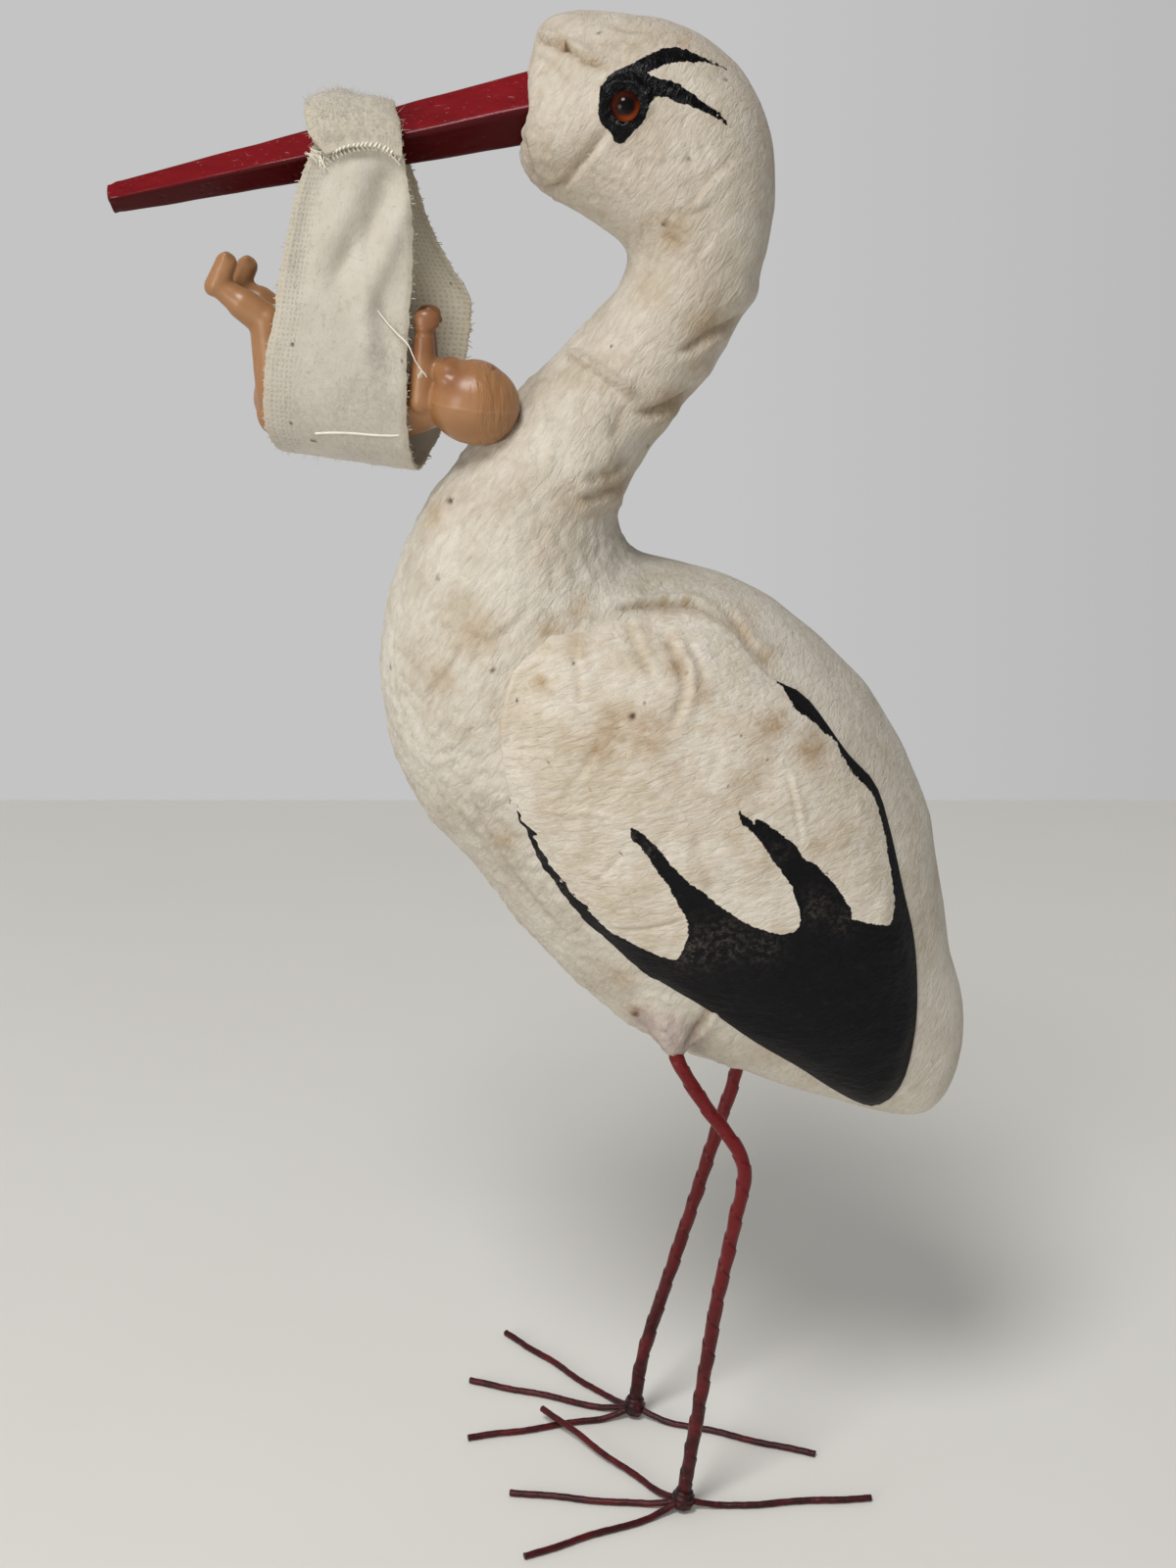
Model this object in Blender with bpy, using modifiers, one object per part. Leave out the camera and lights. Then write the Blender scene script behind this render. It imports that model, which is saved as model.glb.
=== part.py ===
# Spun cotton stork ornament: a pressed cotton stork on wire legs, with a red stick beak,
# glass eyes and a moulded baby doll lying in a flannel sling that hangs over the beak.
# The bird faces -X, its left side is at -Y, and its toes stand on z = 0.

import math

import bpy
import bmesh
from mathutils import Matrix, Vector
from mathutils.bvhtree import BVHTree

MM = 0.001

# Sizes in metres
FIGURE_HEIGHT = 221.0 * MM      # floor to the crown of the head
FIT_GAP = 0.3 * MM              # clearance between pieces that touch

BEAK_LENGTH = 57.6 * MM         # from the face to the blunt tip
BEAK_ROOT_SIDE = 7.0 * MM       # side of the square stick at the face
BEAK_TIP_SIDE = 3.0 * MM
BEAK_SEAT_DEPTH = 8.0 * MM      # length of stick inside the head
BEAK_EDGE_ROUND = 0.25 * MM
BEAK_DROOP = math.radians(11.8)

EYE_DIAMETER = 4.4 * MM
EYE_SINK = 0.9 * MM             # how far the centre of the bead lies under the cotton

LEG_DIAMETER = 2.1 * MM
LEG_SEAT_DEPTH = 7.0 * MM       # length of stem inside the thigh
ANKLE_DIAMETER = 3.2 * MM       # the bound lump that holds the toes
ANKLE_HEIGHT = 3.6 * MM
ANKLE_FLOOR_GAP = 0.35 * MM
TOE_DIAMETER = 1.1 * MM
TOE_RISE = 0.9 * MM             # how far a toe climbs to meet the ankle
TOE_RISE_LENGTH = 4.5 * MM

THIGH_COTTON = 0.7 * MM         # cotton around the stem at the thigh's tip
THIGH_BASE_DIAMETER = 12.0 * MM
THIGH_ROOT_OUT = 8.8 * MM       # the cone's root, inside the belly, from the middle

WING_THICKNESS = 2.0 * MM
WING_GAP = 0.50 * MM            # clearance to the faceted flank under the pad
WING_RIM = 0.5 * MM             # thickness right at the pad's edge
FLANK_LEAST_OUT = 2.1 * MM      # how far from the middle a pad's edge lies at the least

SLING_THICKNESS = 0.7 * MM
SLING_DROP = 40.5 * MM          # beak axis to the bottom of the loop
SLING_SLACK = 1.6 * MM          # bunched cloth above the beak
SLING_TOP_HALF = 6.5 * MM       # half width where it is gathered over the beak
SLING_SPREAD = 8.0 * MM         # how much further the strip reaches forward at the bottom
SLING_FLARE = 7.6 * MM          # how far the far panel swings back
DOLL_LENGTH = 36.0 * MM         # crown of the head to the seat
DOLL_HEAD_DIAMETER = 11.5 * MM
DOLL_ASIDE = 3.4 * MM           # the doll lies this far to the bird's left of the beak

RING_SEGMENTS = 24
THIGH_SEGMENTS = 14
ANKLE_SEGMENTS = 12
ANKLE_RINGS = 8
WING_LEVELS = (1.0, 0.955, 0.87, 0.75, 0.60, 0.44, 0.28, 0.13)
EYE_SEGMENTS = 12
EYE_RINGS = 8
DOLL_SEGMENTS = 14
DOLL_RINGS = 9
LIMB_SEGMENTS = 9
LIMB_RINGS = 5
SLING_COLUMNS = 5
SLING_STEPS = 2                 # points of the loop between two of its given places
WELD = 0.01 * MM
WIRE_RESOLUTION = 2
WIRE_SIDES = 4 + 2 * WIRE_RESOLUTION
LEG_STEPS = 3                   # points of a stem between two of its given places

# Places, as shares of the figure's height: x runs back, z runs up
FACE = (-0.034, 0.9455)
EYE_PLACE = (0.0220, 0.9465)
SLING_REACH = 22.8 * MM         # face to the middle of the sling, along the beak

# Body outline, from the lips over the head, down the neck and breast to the tail.
# Each station: throat or breast point (x, z), crown or back point (x, z), half width.
BODY_STATIONS = (
    ((-0.042, 0.922), (-0.033, 0.970), 0.020),
    ((-0.038, 0.909), (-0.030, 0.988), 0.030),
    ((-0.0285, 0.898), (-0.023, 0.996), 0.037),
    ((-0.014, 0.888), (-0.008, 0.9995), 0.043),
    ((0.000, 0.880), (0.016, 1.000), 0.048),
    ((0.013, 0.872), (0.043, 0.997), 0.0505),
    ((0.0205, 0.8665), (0.0665, 0.988), 0.0515),
    ((0.0245, 0.8625), (0.089, 0.972), 0.051),
    ((0.0258, 0.860), (0.1035, 0.951), 0.050),
    ((0.026, 0.858), (0.112, 0.923), 0.048),
    ((0.0255, 0.854), (0.113, 0.888), 0.046),
    ((0.022, 0.846), (0.110, 0.864), 0.045),
    ((0.012, 0.832), (0.1035, 0.835), 0.044),
    ((-0.018, 0.798), (0.075, 0.791), 0.045),
    ((-0.0575, 0.760), (0.0415, 0.744), 0.052),
    ((-0.098, 0.712), (0.018, 0.706), 0.068),
    ((-0.1145, 0.6805), (0.0165, 0.696), 0.077),
    ((-0.1275, 0.643), (0.0195, 0.685), 0.083),
    ((-0.133, 0.5985), (0.027, 0.6715), 0.090),
    ((-0.1275, 0.549), (0.0525, 0.6665), 0.096),
    ((-0.1065, 0.5045), (0.086, 0.659), 0.0995),
    ((-0.078, 0.473), (0.119, 0.6435), 0.100),
    ((-0.0485, 0.4325), (0.151, 0.6185), 0.098),
    ((-0.0145, 0.391), (0.1805, 0.587), 0.093),
    ((0.0215, 0.3575), (0.2055, 0.548), 0.085),
    ((0.060, 0.336), (0.2245, 0.500), 0.076),
    ((0.100, 0.321), (0.2345, 0.447), 0.067),
    ((0.138, 0.306), (0.242, 0.403), 0.056),
    ((0.172, 0.2945), (0.252, 0.373), 0.045),
    ((0.202, 0.285), (0.255, 0.347), 0.0335),
    ((0.2235, 0.2815), (0.251, 0.3175), 0.021),
    ((0.232, 0.2835), (0.2465, 0.303), 0.011),
)

# Wing pad outline on the flank, clockwise from the shoulder, seen from the bird's left
WING_OUTLINE = (
    (-0.0555, 0.616), (-0.047, 0.6265), (-0.0275, 0.642), (-0.002, 0.6495), (0.034, 0.6515),
    (0.068, 0.649), (0.086, 0.640), (0.110, 0.611), (0.135, 0.5955), (0.163, 0.558),
    (0.1815, 0.536), (0.192, 0.506), (0.202, 0.466), (0.211, 0.430), (0.215, 0.3875),
    (0.2135, 0.354), (0.208, 0.3225), (0.197, 0.304), (0.184, 0.303), (0.161, 0.321),
    (0.1375, 0.341), (0.1085, 0.362), (0.080, 0.386), (0.0525, 0.405), (0.0355, 0.415),
    (0.0145, 0.4365), (-0.0075, 0.4575), (-0.0335, 0.4955), (-0.0515, 0.534),
    (-0.0575, 0.5505), (-0.0625, 0.576), (-0.0615, 0.600),
)

# Legs: hip, bend points and ankle of each stem (x, z), and its distance from the middle
HIP = (0.058, 0.350)
THIGH_ROOT = (0.054, 0.398)
LEFT_KNEE = ((0.0750, 0.319), (0.0885, 0.3005), (0.1005, 0.2835), (0.1025, 0.270))
RIGHT_KNEE = ((0.0790, 0.325), (0.0940, 0.310), (0.1045, 0.2955), (0.1040, 0.280))
LEG_SPREAD = 12.5 * MM
LEFT_SHIN = ((0.0875, 0.166), (0.0750, 0.072), (0.0668, 0.0))
RIGHT_SHIN = ((0.0905, 0.234), (0.0725, 0.168), (0.0530, 0.100), (0.0400, 0.050), (0.0350, 0.0))
LEFT_ANKLE_OUT = 11.8 * MM
RIGHT_ANKLE_OUT = 13.9 * MM

# Toes of each foot: name, direction from -X towards the bird's left, length
LEFT_TOES = (
    ("back", math.radians(185.0), 29.6 * MM),
    ("middle", math.radians(-8.2), 27.3 * MM),
    ("outer", math.radians(26.5), 27.2 * MM),
    ("inner", math.radians(-48.0), 33.4 * MM),
)
RIGHT_TOES = (
    ("back", math.radians(158.5), 31.0 * MM),
    ("middle", math.radians(-20.3), 29.6 * MM),
    ("inner", math.radians(14.0), 28.1 * MM),
    ("outer", math.radians(-49.0), 33.8 * MM),
)

# The left inner toe lies over the right inner toe
CROSSING_TOE = ("inner", -1.0)

# The whole figure is moved so that the origin is under the middle of its bounds
FRAME_SHIFT = Vector((3.95 * MM, -7.63 * MM, 0.0))

COTTON = (0.80, 0.74, 0.63, 1.0)
LACQUER = (0.38, 0.02, 0.025, 1.0)
WIRE_RED = (0.20, 0.012, 0.018, 1.0)
AMBER = (0.16, 0.035, 0.01, 1.0)
FLESH = (0.56, 0.27, 0.14, 1.0)
FLANNEL = (0.74, 0.69, 0.59, 1.0)


def clear_scene():
    for ob in list(bpy.data.objects):
        bpy.data.objects.remove(ob, do_unlink=True)


def make_collection(name):
    group = bpy.data.collections.new(name)
    bpy.context.scene.collection.children.link(group)
    return group


def make_material(name, color, roughness, metallic=0.0):
    mat = bpy.data.materials.new(name)
    mat.use_nodes = True
    shader = mat.node_tree.nodes["Principled BSDF"]
    shader.inputs["Base Color"].default_value = color
    shader.inputs["Roughness"].default_value = roughness
    shader.inputs["Metallic"].default_value = metallic
    return mat


def add_object(name, bm, group, material=None):
    bmesh.ops.recalc_face_normals(bm, faces=bm.faces)
    mesh = bpy.data.meshes.new(name)
    bm.to_mesh(mesh)
    bm.free()
    if material:
        mesh.materials.append(material)
    mesh.shade_smooth()
    ob = bpy.data.objects.new(name, mesh)
    group.objects.link(ob)
    return ob


def share(point):
    return Vector((point[0] * FIGURE_HEIGHT, 0.0, point[1] * FIGURE_HEIGHT))


def add_boolean(ob, cutter, operation):
    mod = ob.modifiers.new(operation.title(), "BOOLEAN")
    mod.operation = operation
    mod.object = cutter
    mod.solver = "EXACT"
    return mod


def hide_cutter(ob):
    ob.hide_render = True
    ob.display_type = "WIRE"
    return ob


def bridge_rings(bm, rings):
    """Quads between neighbouring rings of equal vertex count."""
    count = len(rings[0])
    for lower, upper in zip(rings, rings[1:]):
        for j in range(count):
            k = (j + 1) % count
            bm.faces.new((lower[j], lower[k], upper[k], upper[j]))


def body_bmesh():
    """Loft of oval sections, each spanning from its front point to its back point."""
    bm = bmesh.new()
    rings = []
    for front, back, half_width in BODY_STATIONS:
        low, high = share(front), share(back)
        centre = (low + high) / 2.0
        rise = (high - low) / 2.0
        side = Vector((0.0, half_width * FIGURE_HEIGHT, 0.0))
        ring = []
        for j in range(RING_SEGMENTS):
            angle = 2.0 * math.pi * j / RING_SEGMENTS
            ring.append(bm.verts.new(centre + rise * math.cos(angle) + side * math.sin(angle)))
        rings.append(ring)
    bridge_rings(bm, rings)
    bm.faces.new(rings[0])
    bm.faces.new(reversed(rings[-1]))
    bmesh.ops.triangulate(bm, faces=[f for f in bm.faces if len(f.verts) > 4])
    return bm


def thigh_bmesh(side):
    """Cone of cotton that comes down from the belly to the point where the stem leaves it."""
    tip = leg_mouth(side)
    base = share(THIGH_ROOT)
    base.y = side * THIGH_ROOT_OUT
    axis = base - tip
    bm = bmesh.new()
    bmesh.ops.create_cone(
        bm, cap_ends=True, segments=THIGH_SEGMENTS,
        radius1=LEG_DIAMETER / 2.0 + THIGH_COTTON,
        radius2=THIGH_BASE_DIAMETER / 2.0,
        depth=axis.length,
        matrix=Matrix.Translation(tip + axis / 2.0)
        @ axis.to_track_quat("Z", "Y").to_matrix().to_4x4(),
    )
    return bm


def leg_mouth(side):
    """Where the stem leaves the cotton."""
    point = share(HIP)
    point.y = side * LEG_SPREAD
    return point


def leg_top(side):
    """The stem's upper end, inside the thigh."""
    root = share(THIGH_ROOT)
    root.y = side * THIGH_ROOT_OUT
    mouth = leg_mouth(side)
    return mouth + (root - mouth).normalized() * LEG_SEAT_DEPTH


def curve_wire(name, points, diameter, group, material):
    """A round wire through the points, with a flat turned down, made a mesh with welded caps."""
    curve = bpy.data.curves.new(name, "CURVE")
    curve.dimensions = "3D"
    curve.bevel_depth = diameter / 2.0
    curve.bevel_resolution = WIRE_RESOLUTION
    curve.use_fill_caps = True
    curve.twist_mode = "Z_UP"
    spline = curve.splines.new("POLY")
    spline.points.add(len(points) - 1)
    for slot, point in zip(spline.points, points):
        slot.co = (*point, 1.0)
        slot.tilt = math.pi / WIRE_SIDES
    source = bpy.data.objects.new(name + "_path", curve)
    group.objects.link(source)
    bpy.context.view_layer.update()
    evaluated = source.evaluated_get(bpy.context.evaluated_depsgraph_get())
    mesh = bpy.data.meshes.new_from_object(evaluated)
    bm = bmesh.new()
    bm.from_mesh(mesh)
    bmesh.ops.remove_doubles(bm, verts=bm.verts, dist=WELD)
    bm.transform(source.matrix_world)
    bpy.data.meshes.remove(mesh)
    bpy.data.objects.remove(source)
    bpy.data.curves.remove(curve)
    return add_object(name, bm, group, material)


def smooth_path(points, steps):
    """Points of a Catmull-Rom curve through the given points."""
    path = []
    for i in range(len(points) - 1):
        before = points[max(i - 1, 0)]
        start, end = points[i], points[i + 1]
        after = points[min(i + 2, len(points) - 1)]
        for s in range(steps):
            t = s / steps
            path.append(0.5 * (
                2.0 * start + (end - before) * t
                + (2.0 * before - 5.0 * start + 4.0 * end - after) * t * t
                + (3.0 * start - before - 3.0 * end + after) * t * t * t
            ))
    path.append(points[-1])
    return path


def ankle_place(side):
    """Centre of the ankle on the floor."""
    shin = LEFT_SHIN if side < 0 else RIGHT_SHIN
    out = LEFT_ANKLE_OUT if side < 0 else RIGHT_ANKLE_OUT
    return Vector((shin[-1][0] * FIGURE_HEIGHT, side * out, 0.0))


def leg_points(side):
    """Stem axis from inside the thigh to the top of the ankle lump."""
    shin = LEFT_SHIN if side < 0 else RIGHT_SHIN
    knee = LEFT_KNEE if side < 0 else RIGHT_KNEE
    ankle = ankle_place(side)
    ankle.z = ANKLE_FLOOR_GAP + ANKLE_HEIGHT / 2.0
    top, mouth = leg_top(side), leg_mouth(side)
    points = [top, mouth]
    for item in knee + shin[:-1]:
        place = share(item)
        blend = (mouth.z - place.z) / (mouth.z - ankle.z)
        place.y = mouth.y + (ankle.y - mouth.y) * blend
        points.append(place)
    points.append(ankle)
    return points


def build_leg(name, side, group, material, cutters):
    """Wrapped stem joined to its ankle lump."""
    leg = curve_wire(name, smooth_path(leg_points(side), LEG_STEPS), LEG_DIAMETER, group, material)
    bm = bmesh.new()
    bmesh.ops.create_uvsphere(
        bm, u_segments=ANKLE_SEGMENTS, v_segments=ANKLE_RINGS, radius=0.5
    )
    ankle = ankle_place(side)
    ankle.z = ANKLE_FLOOR_GAP + ANKLE_HEIGHT / 2.0
    size = Matrix.Diagonal((ANKLE_DIAMETER, ANKLE_DIAMETER, ANKLE_HEIGHT, 1.0))
    bm.transform(Matrix.Translation(ankle) @ size)
    lump = hide_cutter(add_object(name + "_ankle", bm, cutters))
    add_boolean(leg, lump, "UNION")
    return leg


def build_toe(name, side, direction, length, over, group, material):
    """A thin wire from beside the ankle down to the floor, or over another toe, to its tip."""
    ankle = ankle_place(side)
    heading = Vector((-math.cos(direction), -math.sin(direction), 0.0))
    start = ANKLE_DIAMETER / 2.0 + FIT_GAP
    height = TOE_DIAMETER / 2.0 * math.cos(math.pi / WIRE_SIDES)
    lift = TOE_DIAMETER + FIT_GAP if over else 0.0
    points = []
    for reach, rise in (
        (start, TOE_RISE), (start + TOE_RISE_LENGTH * 0.4, TOE_RISE * 0.65),
        (start + TOE_RISE_LENGTH, 0.0), (length * 0.6, lift * 0.6), (length, lift * 1.25),
    ):
        place = ankle + heading * reach
        place.z = height + rise
        points.append(place)
    return curve_wire(name, points, TOE_DIAMETER, group, material)


def beak_axis(offset):
    """A point on the stick's axis, at a distance from the face towards the tip."""
    face = share(FACE)
    return face + Vector((-math.cos(BEAK_DROOP), 0.0, -math.sin(BEAK_DROOP))) * offset


def beak_half_diagonal(offset):
    side = BEAK_ROOT_SIDE + (BEAK_TIP_SIDE - BEAK_ROOT_SIDE) * offset / BEAK_LENGTH
    return side / math.sqrt(2.0)


def beak_bmesh(growth):
    """Tapered square stick standing on its edge, grown on each face by the given gap."""
    corner = growth * math.sqrt(2.0)
    root = -BEAK_SEAT_DEPTH - growth
    tip = BEAK_LENGTH
    start, end = beak_axis(root), beak_axis(tip)
    bm = bmesh.new()
    bmesh.ops.create_cone(
        bm, cap_ends=True, segments=4,
        radius1=beak_half_diagonal(root) + corner,
        radius2=beak_half_diagonal(tip) + corner,
        depth=(end - start).length,
        matrix=Matrix.Translation((start + end) / 2.0)
        @ Matrix.Rotation(-math.pi / 2.0 - BEAK_DROOP, 4, "Y"),
    )
    return bm


def flank_surface(tree, mesh, x, z):
    """Point and smooth outward normal on the left flank at x, z."""
    hit, _, index, _ = tree.ray_cast(Vector((x, -1.0, z)), Vector((0.0, 1.0, 0.0)))
    if hit is None:
        hit, _, index, _ = tree.find_nearest(Vector((x, -FLANK_LEAST_OUT, z)))
    face = mesh.polygons[index]
    normal = Vector()
    for v in face.vertices:
        vertex = mesh.vertices[v]
        weight = 1.0 / ((vertex.co - hit).length + FIT_GAP)
        normal += vertex.normal * weight
    return hit, normal.normalized()


def wing_bmesh(body_mesh, tree, side):
    """Pad that follows the flank, thick inside and thin at its rim."""
    outline = [share(p) for p in WING_OUTLINE]
    count = len(outline)
    centre = sum(outline, Vector()) / count
    bm = bmesh.new()
    inner, outer = [], []
    for level in WING_LEVELS:
        swell = WING_RIM + (WING_THICKNESS - WING_RIM) * math.sqrt(1.0 - level ** 8)
        inner_ring, outer_ring = [], []
        for point in outline:
            place = centre.lerp(point, level)
            hit, normal = flank_surface(tree, body_mesh, place.x, place.z)
            low = hit + normal * WING_GAP
            high = hit + normal * (WING_GAP + swell)
            for spot, ring in ((low, inner_ring), (high, outer_ring)):
                ring.append(bm.verts.new((spot.x, -side * spot.y, spot.z)))
        inner.append(inner_ring)
        outer.append(outer_ring)
    hit, normal = flank_surface(tree, body_mesh, centre.x, centre.z)
    low = hit + normal * WING_GAP
    high = hit + normal * (WING_GAP + WING_THICKNESS)
    low_tip = bm.verts.new((low.x, -side * low.y, low.z))
    high_tip = bm.verts.new((high.x, -side * high.y, high.z))
    bridge_rings(bm, list(reversed(inner)) + outer)
    for ring, tip in ((inner[-1], low_tip), (outer[-1], high_tip)):
        for j in range(count):
            bm.faces.new((ring[j], ring[(j + 1) % count], tip))
    return bm


def sling_profile():
    """Loop of the cloth's inner face in the YZ plane, from the top down the near side."""
    half = beak_half_diagonal(SLING_REACH - SLING_TOP_HALF)
    axis_z = beak_axis(SLING_REACH).z
    top = half + SLING_SLACK
    bottom = -SLING_DROP
    reach = DOLL_HEAD_DIAMETER / 2.0
    shape = (
        (0.0, top), (-0.45 * half, 0.72 * top), (-half - FIT_GAP * 2.0, 0.0),
        (-half - 0.6 * MM, 0.16 * bottom), (-0.95 * reach, 0.34 * bottom),
        (-1.38 * reach, 0.54 * bottom), (-1.66 * reach, 0.74 * bottom),
        (-1.62 * reach, 0.90 * bottom), (-1.12 * reach, 0.985 * bottom),
        (-0.45 * reach, bottom), (0.15 * reach, 0.975 * bottom),
        (0.50 * reach, 0.88 * bottom), (0.62 * reach, 0.70 * bottom),
        (0.70 * reach, 0.50 * bottom), (0.76 * reach, 0.30 * bottom),
        (half + 0.8 * MM, 0.14 * bottom), (half + FIT_GAP * 2.0, 0.0),
        (0.45 * half, 0.72 * top),
    )
    return [Vector((0.0, y, axis_z + z)) for y, z in shape]


def sling_edges(point, axis_z):
    """Left and right edge of the strip (x) at a place of the loop."""
    drop = (axis_z - point.z) / SLING_DROP
    below = min(max(drop, 0.0), 1.0)
    above = max(-drop, 0.0) * SLING_DROP / BEAK_ROOT_SIDE
    middle = beak_axis(SLING_REACH).x
    left = middle - SLING_TOP_HALF - SLING_SPREAD * below ** 0.72
    right = middle + SLING_TOP_HALF * (1.0 - 0.5 * above)
    if point.y > 0.0:
        right += SLING_FLARE * math.exp(-((below - 0.53) / 0.20) ** 2)
    return left, right


def sling_bmesh():
    """Open band around the loop, gathered over the beak and wide around the doll."""
    axis_z = beak_axis(SLING_REACH).z
    middle = beak_axis(SLING_REACH).x
    loop = sling_profile()
    loop = smooth_path(loop + [loop[0]], SLING_STEPS)[:-1]
    bm = bmesh.new()
    rings = []
    for u in range(SLING_COLUMNS):
        ring = []
        for point in loop:
            left, right = sling_edges(point, axis_z)
            x = left + (right - left) * u / (SLING_COLUMNS - 1)
            drop = (axis_z - point.z) / SLING_DROP
            slope = math.tan(BEAK_DROOP) * min(0.3 - drop * 0.95, 0.3)
            if drop < 0.0:
                slope = 0.0
            ring.append(bm.verts.new((x, point.y, point.z + slope * (x - middle))))
        rings.append(ring)
    bridge_rings(bm, rings)
    return bm


def build_sling(group, material):
    bm = sling_bmesh()
    sling = add_object("sling", bm, group, material)
    shell = sling.modifiers.new("Cloth", "SOLIDIFY")
    shell.thickness = SLING_THICKNESS
    shell.offset = 1.0
    return sling


def ball(diameters, centre):
    bm = bmesh.new()
    bmesh.ops.create_uvsphere(bm, u_segments=DOLL_SEGMENTS, v_segments=DOLL_RINGS, radius=0.5)
    bm.transform(Matrix.Translation(centre) @ Matrix.Diagonal((*diameters, 1.0)))
    return bm


def limb(start, end, start_width, end_width):
    """Tapered round limb with a ball at each end, as one convex hull."""
    bm = bmesh.new()
    for place, width in ((start, start_width), (end, end_width)):
        bmesh.ops.create_uvsphere(
            bm, u_segments=LIMB_SEGMENTS, v_segments=LIMB_RINGS, radius=width / 2.0,
            matrix=Matrix.Translation(place),
        )
    bmesh.ops.delete(bm, geom=bm.faces[:], context="FACES_ONLY")
    hull = bmesh.ops.convex_hull(bm, input=bm.verts, use_existing_faces=False)
    loose = [item for item in hull["geom_interior"] if isinstance(item, bmesh.types.BMVert)]
    bmesh.ops.delete(bm, geom=loose, context="VERTS")
    wires = [edge for edge in bm.edges if not edge.link_faces]
    bmesh.ops.delete(bm, geom=wires, context="EDGES")
    bmesh.ops.recalc_face_normals(bm, faces=bm.faces)
    return bm


def build_doll(group, material, cutters):
    """Baby on its back: head at the neck of the bird, arms and legs straight up."""
    unit = DOLL_LENGTH
    head = DOLL_HEAD_DIAMETER
    seat_x = beak_axis(SLING_REACH).x
    bed_z = beak_axis(SLING_REACH).z - SLING_DROP + FIT_GAP * 2.0

    def place(along, aside, up):
        return Vector((seat_x + along * unit, aside * unit - DOLL_ASIDE, bed_z + up * unit))

    head_centre = place(0.395, -0.115, 0.190)
    bm = ball((head, head, head), head_centre)
    doll = add_object("doll", bm, group, material)
    forms = [
        ball((0.62 * unit, 0.29 * unit, 0.27 * unit), place(0.02, -0.02, 0.165)),
        ball((0.30 * unit, 0.30 * unit, 0.28 * unit), place(-0.285, 0.0, 0.190)),
        limb(place(0.18, -0.05, 0.17), place(0.40, -0.08, 0.19), 0.18 * unit, 0.18 * unit),
        ball(
            (0.07 * unit, 0.09 * unit, 0.07 * unit),
            head_centre + Vector((-0.065, 0.0, 0.15)) * unit,
        ),
    ]
    for hand in (-1.0, 1.0):
        shoulder = place(0.218, -0.045 + hand * 0.075, 0.20)
        palm = place(0.224, -0.045 + hand * 0.075, 0.485)
        forms.append(ball(
            (0.10 * unit, 0.06 * unit, 0.08 * unit), palm + Vector((0.02, 0.0, 0.0)) * unit
        ))
        forms.append(limb(shoulder, palm, 0.10 * unit, 0.075 * unit))
    for step, foot in ((0.0, -1.0), (0.055, 1.0)):
        aside = foot * 0.075
        hip = place(-0.34, aside, 0.22)
        knee = place(-0.360 + step * 0.4, aside, 0.48)
        heel = place(-0.553 + step, aside, 0.620 - step * 0.4)
        toes = place(-0.500 + step, aside, 0.697 - step * 0.5)
        forms.append(limb(hip, knee, 0.155 * unit, 0.14 * unit))
        forms.append(limb(knee, heel, 0.132 * unit, 0.095 * unit))
        forms.append(limb(heel, toes, 0.102 * unit, 0.085 * unit))
    for index, form in enumerate(forms):
        piece = hide_cutter(add_object("doll_form_%02d" % index, form, cutters))
        add_boolean(doll, piece, "UNION")
    return doll


def build_eye(name, side, group, material, body_mesh, tree):
    spot = share(EYE_PLACE)
    hit, normal = flank_surface(tree, body_mesh, spot.x, spot.z)
    centre = hit - normal * EYE_SINK
    centre.y *= -side
    bm = bmesh.new()
    bmesh.ops.create_uvsphere(
        bm, u_segments=EYE_SEGMENTS, v_segments=EYE_RINGS, radius=EYE_DIAMETER / 2.0
    )
    eye = add_object(name, bm, group, material)
    eye.location = centre
    return eye


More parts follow.
